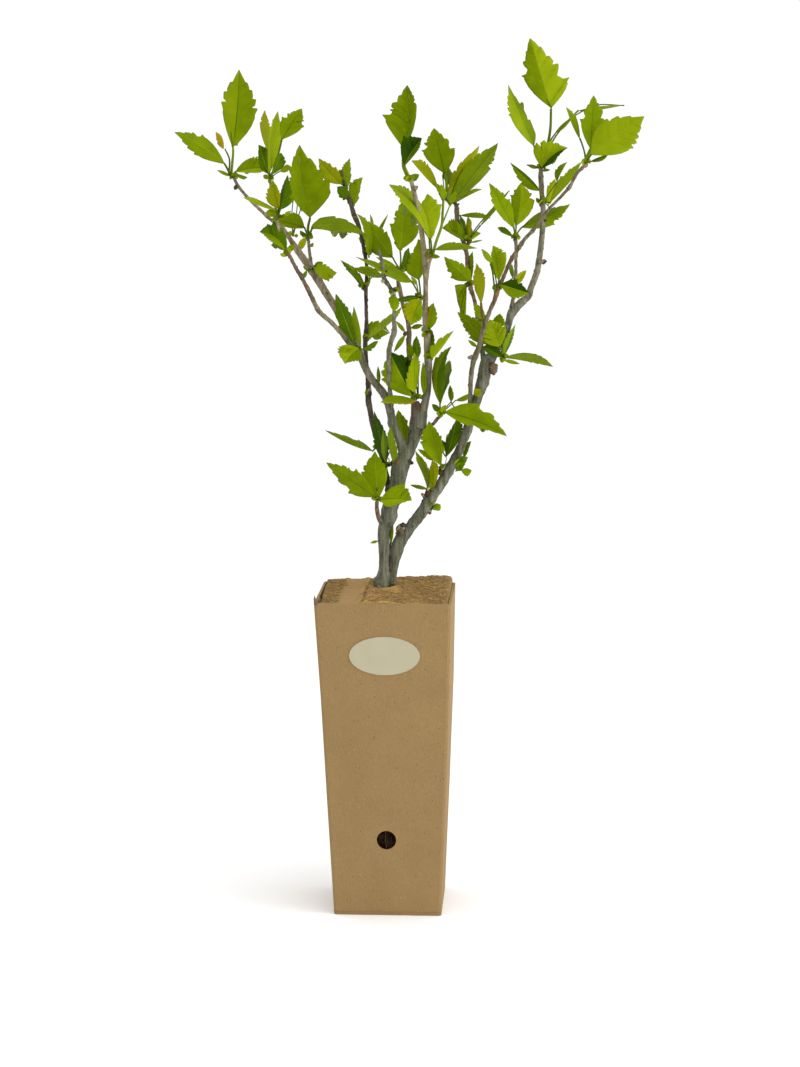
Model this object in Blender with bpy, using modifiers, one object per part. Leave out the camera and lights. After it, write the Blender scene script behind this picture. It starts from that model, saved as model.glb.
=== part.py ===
"""A young rose of Sharon (Hibiscus syriacus) standing in the tall tapering carton it is sold in.

Origin: centre of the carton's flat underside.  +Z up, the panel with the drainage hole faces -Y.
Limbs and foliage are set out on a front elevation, in units of about 0.96 mm, as an eye 2.6 m away
sees it.  sight() turns a place on that elevation and a depth behind the carton's axis into metres.
"""

import math

import bmesh
import bpy
from mathutils import Matrix, Vector
from mathutils.bvhtree import BVHTree

# ---------------------------------------------------------------- driving sizes (metres)
CARTON_HEIGHT = 0.3065
WALL = 0.0025
GAP = 0.0003  # between pieces that touch
SLACK = 0.0004  # how far a carved piece stands off its neighbour

# Outer faces of the carton by height: left, right, front, back.
CARTON_LEVELS = (
    (0.0, -0.0517, 0.0519, -0.0510, 0.0510),
    (0.110, -0.0577, 0.0562, -0.0562, 0.0562),
    (0.215, -0.0632, 0.0597, -0.0607, 0.0607),
    (CARTON_HEIGHT, -0.0690, 0.0610, -0.0650, 0.0650),
)
CORNER = 0.0028  # rounding of the folded corners
HOLE_HEIGHT, HOLE_ACROSS, HOLE_RADIUS = 0.0749, -0.0008, 0.0094
LABEL_HEIGHT, LABEL_ACROSS = 0.2563, -0.0020
LABEL_WIDE, LABEL_HIGH, LABEL_THICK = 0.0674, 0.0373, 0.0004
ROOT_BALL_TOP = 0.2940
MAT_EDGE = 0.3058  # top of the mat along the front, level with the carton's rim

# ---------------------------------------------------------------- the elevation
EYE_TURN, EYE_PITCH, EYE_FAR = math.radians(3.0), math.radians(8.3), 2.62
EYE_AIM = Vector((0.0094, 0.0, 0.3644))
UNITS_PER_RADIAN = 2720.0
MIDDLE = (400.0, 533.5)
UNIT = 0.000956

_back = Vector(
    (
        math.sin(EYE_TURN) * math.cos(EYE_PITCH),
        -math.cos(EYE_TURN) * math.cos(EYE_PITCH),
        math.sin(EYE_PITCH),
    )
)
_right = Vector((math.cos(EYE_TURN), math.sin(EYE_TURN), 0.0))
_up = _right.cross(-_back)
EYE = EYE_AIM + _back * EYE_FAR


def sight(across, down, deep):
    """The point at depth `deep` (mm, +Y) on the line of sight through a place on the elevation."""
    way = (
        -_back
        + _right * ((across - MIDDLE[0]) / UNITS_PER_RADIAN)
        - _up * ((down - MIDDLE[1]) / UNITS_PER_RADIAN)
    )
    return EYE + way * ((deep / 1000 - EYE.y) / way.y)


# ---------------------------------------------------------------- limbs
# name: parent, then stations (across, down, depth in mm, thickness in units)
LIMBS = {
    "trunk": (
        None,
        (384.5, 592, 0, 19), (384.6, 575, 0, 15), (384.3, 558, 0, 11.6), (384, 530, 0, 11.5),
        (388, 512, 0, 14.5), (396, 488, 0, 12.6), (402, 465, 0, 13.6), (413, 440, -3, 11.2),
        (420.5, 419, -6, 11),
    ),
    "stem_right": (
        "trunk",
        (389, 584, 3, 12), (396, 560, 3, 11.4), (401, 545, 3, 11.2), (417, 520, 2, 11),
        (436, 492, 0, 10.4), (455, 460, -2, 9.5), (470, 425, -5, 9), (481, 385, -6, 10.6),
        (488, 360, -5, 11.6),
    ),
    "bough_right_back": (
        "stem_right",
        (487.5, 362, -5, 10), (497, 345, 2, 9.4), (507, 328, 12, 8.6), (512, 311, 20, 8.8),
        (527, 295, 28, 7.4), (537, 268, 42, 6.2), (543, 240, 54, 5.4), (543, 212, 65, 5.2),
        (541, 182, 77, 4.6), (541.5, 158, 84, 3.8),
    ),
    "bough_right_front": (
        "stem_right",
        (471, 415, -6, 5), (471, 385, -15, 5.2), (474, 355, -26, 5.4), (481, 332, -36, 4.8),
        (497, 290, -58, 4.6), (519, 245, -80, 4.2), (538, 222, -92, 4), (560, 197, -104, 3.6),
        (575, 179, -112, 3.2), (587, 160, -119, 2.8),
    ),
    "bough_right_inner": (
        "bough_right_back",
        (512, 306, 21, 4.4), (515, 275, 40, 3.8), (516, 250, 54, 3.2), (515, 235, 62, 3),
    ),
    "bough_centre_front": (
        "trunk",
        (420.8, 425, -6, 8.8), (423, 408, -9, 8.2), (427, 385, -15, 7.5), (427, 345, -28, 7), (426, 300, -43, 6.2),
        (424, 245, -64, 5.2), (417, 205, -80, 4.8), (412, 184, -90, 4), (409, 172, -94, 3.6),
    ),
    "spur_centre_front": (
        "bough_centre_front",
        (426, 277, -51, 3.6), (428.5, 266, -60, 3.2),
    ),
    "bough_left_back": (
        "trunk",
        (406, 456, -2, 9.5), (396, 430, -8, 9), (389, 405, -12, 8.4), (378, 385, -14, 7.8),
        (362, 363, -14, 7.2), (351, 335, -6, 7), (336, 308, 6, 7), (322, 288, 16, 6.4),
        (304, 256, 32, 5.6), (292, 240, 40, 4.4), (276, 221, 50, 3.8), (260, 209, 60, 3.2),
        (246, 196, 68, 3), (237, 184, 74, 2.8), (233.6, 163, 76, 2.6),
    ),
    "bough_left_front": (
        "bough_left_back",
        (357, 353, -14, 5), (345, 338, -27, 4.6), (332, 323, -38, 4.4), (319, 311, -48, 4.6),
        (308, 290, -62, 4), (297, 270, -74, 3.6), (287, 252, -86, 3.4), (280, 228, -98, 3),
        (275, 208, -104, 2.8), (270.5, 173, -111.5, 2.6),
    ),
    "spur_left": (
        "bough_left_back",
        (312, 269, 26, 3.4), (309.5, 252, 8, 3), (308, 242, -4, 2.8),
    ),
    "bough_back_left": (
        "trunk",
        (388, 503, 3, 6.4), (386.5, 485, 12, 6), (384, 470, 18, 6), (378, 440, 28, 5.8),
        (371, 413, 38, 5.6), (367.5, 385, 46, 5.2), (365.5, 345, 58, 4.6), (366, 300, 74, 4.2),
        (365.5, 252, 90, 3.8), (357, 218, 101, 4.2), (347.5, 194, 109, 3.6), (345.5, 187, 111.5, 3.4),
    ),
    "bough_front": (
        "bough_left_back",
        (391, 403, -12, 4.4), (389.5, 385, -23, 4), (389, 347, -38, 4.2), (394, 328, -46, 4.6),
        (394, 295, -58, 4.2), (384, 272, -68, 3.4), (378.5, 250, -79, 2.8),
    ),
    "bough_back_centre": (
        "trunk",
        (412, 438, 3, 5), (413.5, 405, 20, 4.6), (411, 375, 34, 4.6), (408.5, 345, 48, 4.8),
        (405, 312, 62, 4.4), (398.5, 280, 75, 3.6), (399.5, 265, 79, 3.2),
    ),
    "bough_back_right": (
        "stem_right",
        (486, 368, 0, 5.4), (480, 340, 26, 5), (478, 320, 42, 4.8), (474, 300, 58, 4.6),
        (470, 275, 76, 4.4), (466, 252, 92, 4.2), (459, 228, 108, 4), (455, 205, 121, 3.6), (449, 195, 125, 3.2),
    ),
    "spur_trunk": (
        "trunk",
        (382, 522, -3, 4.6), (377.5, 512, -13, 4), (377, 498, -27, 3.4),
    ),
    "spur_low_right": (
        "trunk",
        (420, 432, -6, 4), (433, 424, -13, 3.4), (443, 411, -22, 3),
    ),
}
LIMB_SIDES = 7
STEP_DOWN = 12.0  # the longest stretch between two rings of a limb, in units

# ---------------------------------------------------------------- foliage
# name: heart (across, down, depth in mm), core radius in units, then the reach of each spray:
# (across, down, depth beyond the heart in mm, breadth in units)
FOLIAGE = {
    "foliage_left_tip": ((233, 158, 76), 8, (239, 69, -8, 36), (214, 97, 16, 14), (175, 132, -18, 20), (265, 168, -26, 14), (236, 118, 44, 24)),
    "foliage_left_upper": ((271, 168, -112), 8, (265, 110, 10, 11), (279, 114, -6, 13), (302, 109, -20, 20), (258, 144, 16, 12), (286, 150, -18, 16), (272, 140, 38, 16)),
    "foliage_left_fork": ((280, 212, -102), 6, (270, 182, 8, 14), (293, 168, -14, 18), (243, 196, -20, 6), (283, 190, 30, 14)),
    "foliage_left_large": ((307, 226, -14), 8, (299, 144, -16, 44), (366, 238, -30, 13), (270, 218, 12, 13), (303, 248, 20, 17), (300, 186, 34, 22)),
    "foliage_left_low": ((284, 249, -84), 6, (259, 231, -14, 15), (294, 244, 16, 8), (278, 240, 24, 12)),
    "foliage_left_inner": ((316, 269, 24), 6, (338, 271, -16, 17), (303, 266, 14, 8), (322, 262, 30, 10)),
    "foliage_left_crotch": ((357, 346, -22), 9, (336, 293, 8, 18), (353, 305, -14, 9), (344, 364, -16, 24), (379, 342, -20, 10), (346, 318, 32, 14)),
    "foliage_back_left_top": ((345, 184, 112), 6, (318, 158, -14, 15), (350, 158, 10, 10), (337, 188, -18, 9), (363, 177, 14, 9), (336, 172, 30, 12)),
    "foliage_back_left_upper": ((369, 244, 92), 7, (357, 213, -12, 17), (370, 213, 18, 8), (388, 213, 8, 7), (372, 230, 34, 12)),
    "foliage_back_left_mid": ((362, 281, 80), 6, (341, 261, -12, 7), (350, 264, 12, 6), (370, 276, 16, 6)),
    "foliage_back_left_low": ((372, 333, 60), 7, (403, 312, -20, 10), (390, 327, 16, 17), (380, 338, 26, 10)),
    "foliage_back_centre": ((400, 258, 80), 8, (404, 195, -8, 27), (366, 222, 12, 24), (411, 246, 22, 13), (355, 268, -18, 8), (400, 228, 40, 20)),
    "foliage_centre_top": ((408, 165, -96), 7, (407, 85, -8, 28), (384, 113, 6, 14), (419, 130, -18, 18), (421, 173, 14, 7), (408, 130, 34, 16)),
    "foliage_top_back": ((446, 188, 126), 9, (434, 128, 10, 32), (412, 156, -12, 13), (498, 143, -24, 24), (480, 145, 28, 18), (482, 189, 8, 6), (450, 160, 46, 22)),
    "foliage_centre_upper": ((431, 244, -72), 8, (390, 181, -20, 19), (428, 192, 8, 24), (478, 248, -18, 10), (440, 258, -14, 8), (424, 216, -34, 18)),
    "foliage_centre_mid": ((418, 290, -47), 8, (417, 239, 10, 18), (393, 302, -14, 9), (411, 328, -22, 20), (356, 256, -26, 12), (400, 272, -30, 10)),
    "foliage_front": ((394, 303, -60), 6, (393, 317, -10, 12), (388, 292, -12, 8)),
    "foliage_centre_spur": ((429, 328, -38), 6, (435, 301, -12, 13), (424, 336, -12, 8)),
    "foliage_centre_low": ((414, 388, -16), 9, (386, 351, -16, 32), (415, 354, -24, 13), (381, 402, -18, 9), (417, 332, 20, 14), (424, 361, -8, 7), (404, 366, -44, 14)),
    "foliage_centre_right": ((431, 354, -38), 5, (432, 330, 10, 9), (455, 329, -14, 10)),
    "foliage_low_right": ((446, 407, -24), 7, (508, 437, -30, 26), (451, 346, 6, 12), (468, 393, -8, 7), (431, 404, 4, 8), (474, 416, -52, 14)),
    "foliage_inner_upper": ((467, 235, 100), 7, (443, 228, -14, 12), (461, 214, 10, 10), (491, 219, -16, 7), (482, 233, 14, 8), (468, 224, 34, 10)),
    "foliage_inner_mid": ((469, 279, 70), 7, (444, 256, -16, 19), (472, 251, 14, 9), (453, 285, -8, 7), (462, 266, 34, 12)),
    "foliage_right_top": ((542, 150, 86), 8, (530, 38, -10, 44), (508, 84, 14, 17), (569, 147, -18, 20), (624, 105, 22, 7), (540, 96, 34, 26)),
    "foliage_right_tip": ((589, 154, -120), 8, (594, 94, 10, 23), (645, 116, -18, 36), (610, 154, -8, 8), (566, 107, 18, 9), (606, 130, 36, 22)),
    "foliage_right_upper": ((515, 228, 66), 8, (489, 183, -12, 21), (520, 182, 14, 26), (497, 227, -8, 8), (570, 203, 28, 18), (508, 204, 44, 18)),
    "foliage_right_side": ((546, 194, 73), 7, (510, 162, -16, 13), (555, 178, 12, 11), (582, 162, -12, 12), (549, 186, 36, 12)),
    "foliage_right_mid": ((499, 282, -60), 8, (493, 244, 10, 15), (481, 248, -10, 7), (531, 294, -16, 18), (527, 269, 10, 9), (476, 262, -22, 13), (500, 268, -38, 14)),
    "foliage_right_low": ((495, 346, -4), 10, (458, 311, 16, 24), (493, 319, -20, 22), (480, 347, -18, 16), (513, 327, 16, 12), (554, 367, -24, 10), (490, 330, 40, 20)),
    "foliage_trunk_front": ((377, 494, -30), 8, (326, 463, -20, 26), (372, 452, 8, 23), (413, 500, -24, 19), (366, 474, -46, 18)),
    "foliage_trunk_left": ((355, 443, 36), 4, (325, 430, 12, 7), (379, 446, -9, 6)),
    "foliage_trunk_upper": ((386, 451, 8), 6, (374, 410, 12, 15), (383, 427, -12, 9), (398, 409, 18, 15), (386, 430, 38, 14)),
    "foliage_stem_inner": ((441, 452, -6), 7, (427, 421, -16, 21), (459, 419, 14, 14), (417, 449, -10, 7), (454, 462, 4, 6), (442, 438, 34, 14)),
    "foliage_stem_outer": ((463, 463, -4), 5, (472, 440, 8, 7), (473, 471, -10, 11), (458, 474, 6, 8)),
    "foliage_stem_low": ((430, 482, -6), 5, (432, 457, -8, 10), (415, 450, 6, 9), (409, 485, -6, 6), (437, 490, 6, 5)),
    "foliage_stem_foot": ((434, 507, 2), 4, (428, 507, -4, 7), (442, 507, 4, 9)),
    "foliage_hidden_left": ((297, 206, 58), 5, (292, 240, -18, 5), (299, 166, 22, 18), (287, 192, 8, 14), (312, 188, 30, 16), (300, 186, 62, 22)),
    "foliage_hidden_right": ((488, 328, 66), 7, (480, 318, 26, 14), (495, 334, 30, 14), (489, 326, 62, 20), (478, 321, -25, 5)),
    "foliage_hidden_centre": ((404, 372, 60), 7, (398, 360, 22, 16), (411, 380, 26, 14), (404, 370, 58, 20), (411, 376, -27, 5)),
}

BARK = {
    "trunk": (0.20, 0.21, 0.19),
    "stem_right": (0.21, 0.21, 0.20),
}
TWIG = (0.22, 0.17, 0.12)
LEAF_TONES = ((0.17, 0.32, 0.02), (0.22, 0.38, 0.03), (0.12, 0.25, 0.02), (0.28, 0.38, 0.04))


# ---------------------------------------------------------------- scene set-up
def clear_scene():
    for old in list(bpy.data.objects):
        bpy.data.objects.remove(old, do_unlink=True)


def new_collection(name, helper=False):
    made = bpy.data.collections.new(name)
    bpy.context.scene.collection.children.link(made)
    made.hide_render = helper
    return made


def finish_material(name, colour, roughness):
    made = bpy.data.materials.new(name)
    made.use_nodes = True
    shader = made.node_tree.nodes["Principled BSDF"]
    shader.inputs["Base Color"].default_value = (*colour, 1.0)
    shader.inputs["Roughness"].default_value = roughness
    shader.inputs["Metallic"].default_value = 0.0
    return made


def add_object(name, mesh, collection, colour=None, roughness=0.8):
    made = bpy.data.objects.new(name, mesh)
    collection.objects.link(made)
    if colour is not None:
        mesh.materials.clear()
        mesh.materials.append(finish_material(name, colour, roughness))
    return made


# ---------------------------------------------------------------- carving and joining
def evaluated_mesh(obj):
    graph = bpy.context.evaluated_depsgraph_get()
    graph.update()
    return bpy.data.meshes.new_from_object(obj.evaluated_get(graph))


def swelled(obj, by, collection):
    """A copy of a solid with each face moved out by about `by`."""
    bm = bmesh.new()
    bm.from_mesh(obj.data)
    bm.normal_update()
    for vert in bm.verts:
        vert.co += vert.normal * (by * min(vert.calc_shell_factor(), 2.0))
    mesh = bpy.data.meshes.new(obj.name + "_cutter")
    bm.to_mesh(mesh)
    bm.free()
    cutter = add_object(obj.name + "_cutter", mesh, collection)
    cutter.matrix_world = obj.matrix_world
    cutter.hide_render = True
    cutter.display_type = "WIRE"
    return cutter


def largest_island(bm):
    """Drops all but the biggest closed piece of a mesh."""
    left, pieces = set(bm.verts), []
    while left:
        start = left.pop()
        piece, todo = {start}, [start]
        while todo:
            for edge in todo.pop().link_edges:
                for other in edge.verts:
                    if other in left:
                        left.discard(other)
                        piece.add(other)
                        todo.append(other)
        pieces.append(piece)
    if len(pieces) < 2:
        return

    def size(piece):
        faces = {face for vert in piece for face in vert.link_faces}
        return sum(face.calc_area() for face in faces)

    pieces.sort(key=size, reverse=True)
    bmesh.ops.delete(bm, geom=[v for piece in pieces[1:] for v in piece], context="VERTS")


def boxes_meet(a, b, margin=0.001):
    def box(obj):
        points = [obj.matrix_world @ v.co for v in obj.data.vertices]
        return [(min(p[i] for p in points), max(p[i] for p in points)) for i in range(3)]

    return all(p[0] < q[1] + margin and q[0] < p[1] + margin for p, q in zip(box(a), box(b)))


def surfaces_meet(a, b):
    trees = []
    for obj in (a, b):
        bm = bmesh.new()
        bm.from_mesh(obj.data)
        bm.transform(obj.matrix_world)
        trees.append(BVHTree.FromBMesh(bm))
        bm.free()
    return bool(trees[0].overlap(trees[1]))


def carve(obj, others, cutters, by=SLACK):
    """Cuts each neighbour, swelled by the slack, out of a solid, and keeps the main piece."""
    for other in others:
        if not boxes_meet(obj, other):
            continue
        cutter = swelled(other, by, cutters)
        if not surfaces_meet(obj, cutter):
            bpy.data.objects.remove(cutter, do_unlink=True)
            continue
        cut = obj.modifiers.new("clear_of_" + other.name, "BOOLEAN")
        cut.operation, cut.solver, cut.object = "DIFFERENCE", "EXACT", cutter
        bm = bmesh.new()
        bm.from_mesh(evaluated_mesh(obj))
        obj.modifiers.clear()
        bmesh.ops.remove_doubles(bm, verts=bm.verts, dist=0.00001)
        bmesh.ops.dissolve_degenerate(bm, edges=bm.edges, dist=0.00001)
        bmesh.ops.triangulate(bm, faces=bm.faces)
        largest_island(bm)
        bm.to_mesh(obj.data)
        bm.free()
        bpy.data.objects.remove(cutter, do_unlink=True)


# ---------------------------------------------------------------- carton
def level_at(height):
    """The carton's outer faces at a height: left, right, front, back."""
    for low, high in zip(CARTON_LEVELS, CARTON_LEVELS[1:]):
        if height <= high[0]:
            t = (height - low[0]) / (high[0] - low[0])
            return [a + (b - a) * t for a, b in zip(low[1:], high[1:])]
    return list(CARTON_LEVELS[-1][1:])


def ring_of(height, inset=0.0, corner=CORNER, steps=2):
    """A rectangle with rounded corners round the carton's section at a height."""
    left, right, front, back = level_at(height)
    left, right, front, back = left + inset, right - inset, front + inset, back - inset
    corner = max(corner - inset, 0.0006)
    points = []
    for cx, cy, start in (
        (left + corner, front + corner, 180),
        (right - corner, front + corner, 270),
        (right - corner, back - corner, 0),
        (left + corner, back - corner, 90),
    ):
        for k in range(steps + 1):
            a = math.radians(start + 90 * k / steps)
            points.append(Vector((cx + corner * math.cos(a), cy + corner * math.sin(a), height)))
    return points


def loft(bm, rings, close_bottom=True, close_top=True):
    rows = [[bm.verts.new(p) for p in ring] for ring in rings]
    for low, high in zip(rows, rows[1:]):
        for i in range(len(low)):
            j = (i + 1) % len(low)
            bm.faces.new((low[i], low[j], high[j], high[i]))
    if close_bottom:
        bm.faces.new(list(reversed(rows[0])))
    if close_top:
        bm.faces.new(rows[-1])
    return rows


def make_carton(parts, cutters):
    bm = bmesh.new()
    loft(bm, [ring_of(level[0]) for level in CARTON_LEVELS], close_top=False)
    mesh = bpy.data.meshes.new("carton")
    bm.to_mesh(mesh)
    bm.free()
    carton = add_object("carton", mesh, parts, (0.36, 0.24, 0.11), 0.85)
    shell = carton.modifiers.new("wall", "SOLIDIFY")
    shell.thickness, shell.offset, shell.use_even_offset = WALL, -1.0, True
    bpy.ops.mesh.primitive_cylinder_add(vertices=24, radius=HOLE_RADIUS, depth=0.03)
    drill = bpy.context.object
    drill.name = "drainage_hole"
    front = level_at(HOLE_HEIGHT)[2]
    drill.matrix_world = Matrix.Translation((HOLE_ACROSS, front, HOLE_HEIGHT)) @ Matrix.Rotation(
        math.pi / 2, 4, "X"
    )
    for used in list(drill.users_collection):
        used.objects.unlink(drill)
    cutters.objects.link(drill)
    drill.hide_render, drill.display_type = True, "WIRE"
    cut = carton.modifiers.new("drainage", "BOOLEAN")
    cut.operation, cut.solver, cut.object = "DIFFERENCE", "EXACT", drill
    return carton


def make_label(parts):
    """A thin oval that lies against the sloping front panel."""
    bpy.ops.mesh.primitive_cylinder_add(vertices=28, radius=1.0, depth=1.0)
    label = bpy.context.object
    label.name = "label"
    label.data.name = "label"
    label.data.transform(Matrix.Diagonal((LABEL_WIDE / 2, LABEL_HIGH / 2, LABEL_THICK, 1.0)))
    low, high = level_at(LABEL_HEIGHT - 0.02), level_at(LABEL_HEIGHT + 0.02)
    slope = math.atan2(high[2] - low[2], 0.04)
    place = Vector((LABEL_ACROSS, level_at(LABEL_HEIGHT)[2] - GAP - LABEL_THICK / 2, LABEL_HEIGHT))
    label.matrix_world = Matrix.Translation(place) @ Matrix.Rotation(math.pi / 2 - slope, 4, "X")
    for used in list(label.users_collection):
        used.objects.unlink(label)
    parts.objects.link(label)
    label.data.materials.append(finish_material("label", (0.62, 0.58, 0.42), 0.6))
    return label


def mat_height(x, y):
    """The lumpy top of the fibre mat: level at the front, raised at the back and right."""
    rise = 0.0030 * (y + 0.065) / 0.13 + 0.0036 * (y + 0.065) / 0.13 * (x + 0.065) / 0.13
    lumps = (
        0.0008 * math.sin(95 * x + 1.3) * math.cos(80 * y)
        + 0.0005 * math.sin(210 * x - 130 * y + 0.4)
    )
    near = math.hypot(x + 0.006, y)
    collar = 0.0028 * math.exp(-((near / 0.022) ** 2))
    # The flap left of the slit climbs towards it, and the slit runs from the stem to the front.
    slit = -0.012 - 0.35 * (y + 0.01)
    flap = 0.0028 * math.exp(-(((x - slit + 0.012) / 0.014) ** 2)) if y < 0.004 else 0.0
    return MAT_EDGE + rise + lumps + collar + flap


def make_mat(parts):
    inset = WALL + GAP
    count = 12
    bm = bmesh.new()
    grid = []
    for row in range(count + 1):
        line = []
        for col in range(count + 1):
            left, right, front, back = level_at(CARTON_HEIGHT)
            x = left + inset + (right - left - 2 * inset) * col / count
            y = front + inset + (back - front - 2 * inset) * row / count
            line.append(bm.verts.new((x, y, mat_height(x, y))))
        grid.append(line)
    for row in range(count):
        for col in range(count):
            bm.faces.new((grid[row][col], grid[row][col + 1], grid[row + 1][col + 1], grid[row + 1][col]))
    rim = (
        [grid[0][c] for c in range(count)]
        + [grid[r][count] for r in range(count)]
        + [grid[count][c] for c in range(count, 0, -1)]
        + [grid[r][0] for r in range(count, 0, -1)]
    )
    floor = ROOT_BALL_TOP + GAP
    left, right, front, back = level_at(floor)
    tleft, tright, tfront, tback = level_at(CARTON_HEIGHT)
    low = []
    for vert in rim:
        x = left + inset + (vert.co.x - tleft - inset) * (right - left - 2 * inset) / (tright - tleft - 2 * inset)
        y = front + inset + (vert.co.y - tfront - inset) * (back - front - 2 * inset) / (tback - tfront - 2 * inset)
        low.append(bm.verts.new((x, y, floor)))
    for i in range(len(rim)):
        j = (i + 1) % len(rim)
        bm.faces.new((low[i], low[j], rim[j], rim[i]))
    bm.faces.new(list(reversed(low)))
    mesh = bpy.data.meshes.new("mulch_mat")
    bm.to_mesh(mesh)
    bm.free()
    return add_object("mulch_mat", mesh, parts, (0.30, 0.18, 0.07), 0.95)


def make_root_ball(parts):
    inset = WALL + GAP
    heights = [WALL + GAP] + [level[0] for level in CARTON_LEVELS[1:-1]] + [ROOT_BALL_TOP]
    bm = bmesh.new()
    loft(bm, [ring_of(height, inset, 0.004, 1) for height in heights])
    mesh = bpy.data.meshes.new("root_ball")
    bm.to_mesh(mesh)
    bm.free()
    return add_object("root_ball", mesh, parts, (0.06, 0.035, 0.02), 0.95)


# ---------------------------------------------------------------- limbs
def through(points, t):
    """Catmull-Rom value at t in 0..len-1 through a list of vectors or numbers."""
    i = min(int(t), len(points) - 2)
    f = t - i
    p1, p2 = points[i], points[i + 1]
    p0 = points[i - 1] if i else p1 * 2 - p2
    p3 = points[i + 2] if i + 2 < len(points) else p2 * 2 - p1
    return (p1 * 2 + (p2 - p0) * f + (p0 * 2 - p1 * 5 + p2 * 4 - p3) * f * f + (p1 * 3 - p0 - p2 * 3 + p3) * f ** 3) * 0.5


def make_limb(name, stations, parts, foot=None):
    places = [sight(*station[:3]) for station in stations]
    radii = [station[3] * UNIT / 2 for station in stations]
    if foot is not None:
        places.insert(0, Vector((places[0].x, places[0].y, foot)))
        radii.insert(0, radii[0] * 1.12)
    values = []
    for i in range(len(places) - 1):
        reach = (places[i + 1] - places[i]).length
        rings = max(1, round(reach / (STEP_DOWN * 1.6 * UNIT)))
        values += [i + k / rings for k in range(rings)]
    values.append(len(places) - 1)
    bm = bmesh.new()
    rings, side = [], None
    for t in values:
        here = through(places, t)
        ahead = through(places, min(t + 0.05, len(places) - 1))
        behind = through(places, max(t - 0.05, 0))
        way = (ahead - behind).normalized()
        if foot is not None and t <= 1:
            way = Vector((0, 0, 1))
        side = Vector((1, 0, 0)) if side is None else side
        side = (side - way * side.dot(way)).normalized()
        across = way.cross(side)
        radius = through(radii, t)
        ring = []
        for k in range(LIMB_SIDES):
            a = 2 * math.pi * k / LIMB_SIDES
            flare = 1.0
            if foot is not None and t < 2.5:
                flare = 1 + 0.10 * math.cos(3 * a + 0.6) * (1 - t / 2.5)
            ring.append(here + (side * math.cos(a) + across * math.sin(a)) * radius * flare)
        rings.append(ring)
    loft(bm, rings)
    mesh = bpy.data.meshes.new(name)
    bmesh.ops.triangulate(bm, faces=bm.faces)
    bmesh.ops.recalc_face_normals(bm, faces=bm.faces)
    bm.to_mesh(mesh)
    bm.free()
    return add_object(name, mesh, parts, BARK.get(name, TWIG), 0.85)


# ---------------------------------------------------------------- foliage
def ball_directions():
    bm = bmesh.new()
    bmesh.ops.create_icosphere(bm, subdivisions=2, radius=1.0)
    found = [v.co.normalized() for v in bm.verts]
    bm.free()
    return found


def make_foliage(name, heart, core, sprays, parts, tone):
    """A closed solid round a heart, that reaches out to the tip of each spray of leaves."""
    centre = sight(*heart)
    core_radius = core * UNIT
    aims, spots = [], []
    for across, down, deep, breadth in sprays:
        tip = sight(across, down, heart[2] + deep) - centre
        way = tip.normalized()
        half = breadth * UNIT / 2
        flat = Vector((0, 1, 0)).cross(way)
        flat = flat.normalized() if flat.length > 0.25 else Vector((1, 0, 0))
        thin = way.cross(flat).normalized()
        middle = tip * 0.52
        aims.append((way, math.atan2(half, middle.length)))
        spots.append(tip)
        spots += [middle + flat * half, middle - flat * half]
        spots += [middle * 1.02 + thin * half * 0.55, middle * 0.98 - thin * half * 0.55]
    for direction in ball_directions():
        if all(direction.angle(way) > spread * 1.25 + 0.10 for way, spread in aims):
            lump = 1 + 0.22 * math.sin(3.1 * direction.x + 5.3 * direction.z + heart[0]) * math.cos(4.2 * direction.y + heart[1])
            spots.append(direction * core_radius * lump)
    bm = bmesh.new()
    for index, spot in enumerate(spots):
        vert = bm.verts.new(spot.normalized())
        vert.index = index
    reach = {tuple(round(c, 5) for c in spot.normalized()): spot.length for spot in spots}
    found = bmesh.ops.convex_hull(bm, input=list(bm.verts))
    loose = [v for v in bm.verts if not v.link_faces]
    bmesh.ops.delete(bm, geom=loose, context="VERTS")
    for vert in bm.verts:
        vert.co = vert.co * reach[tuple(round(c, 5) for c in vert.co)] + centre
    bmesh.ops.recalc_face_normals(bm, faces=bm.faces)
    mesh = bpy.data.meshes.new(name)
    bm.to_mesh(mesh)
    bm.free()
    return add_object(name, mesh, parts, tone, 0.6)


def main():
    clear_scene()
    parts = new_collection("hibiscus_in_carton")
    cutters = new_collection("Cutters", helper=True)

    make_carton(parts, cutters)
    make_label(parts)
    make_root_ball(parts)
    mat = make_mat(parts)

    limbs = {}
    for name, (parent, *stations) in LIMBS.items():
        foot = ROOT_BALL_TOP + GAP if parent is None else None
        limbs[name] = make_limb(name, stations, parts, foot)
    for name, limb in limbs.items():
        earlier = list(limbs.values())[: list(limbs).index(name)]
        carve(limb, earlier, cutters)
    carve(mat, [limbs["trunk"], limbs["stem_right"]], cutters)

    masses = []
    for index, (name, (heart, core, *sprays)) in enumerate(FOLIAGE.items()):
        mass = make_foliage(name, heart, core, sprays, parts, LEAF_TONES[index % len(LEAF_TONES)])
        carve(mass, list(limbs.values()) + masses, cutters)
        masses.append(mass)


main()
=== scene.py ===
"""Looks of the potted hibiscus shrub: bark, twigs, leaves, kraft carton, blank label and fibre mat."""

import math
import random

import bmesh
import bpy
import numpy as np
from mathutils import Matrix, Vector, noise


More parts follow.
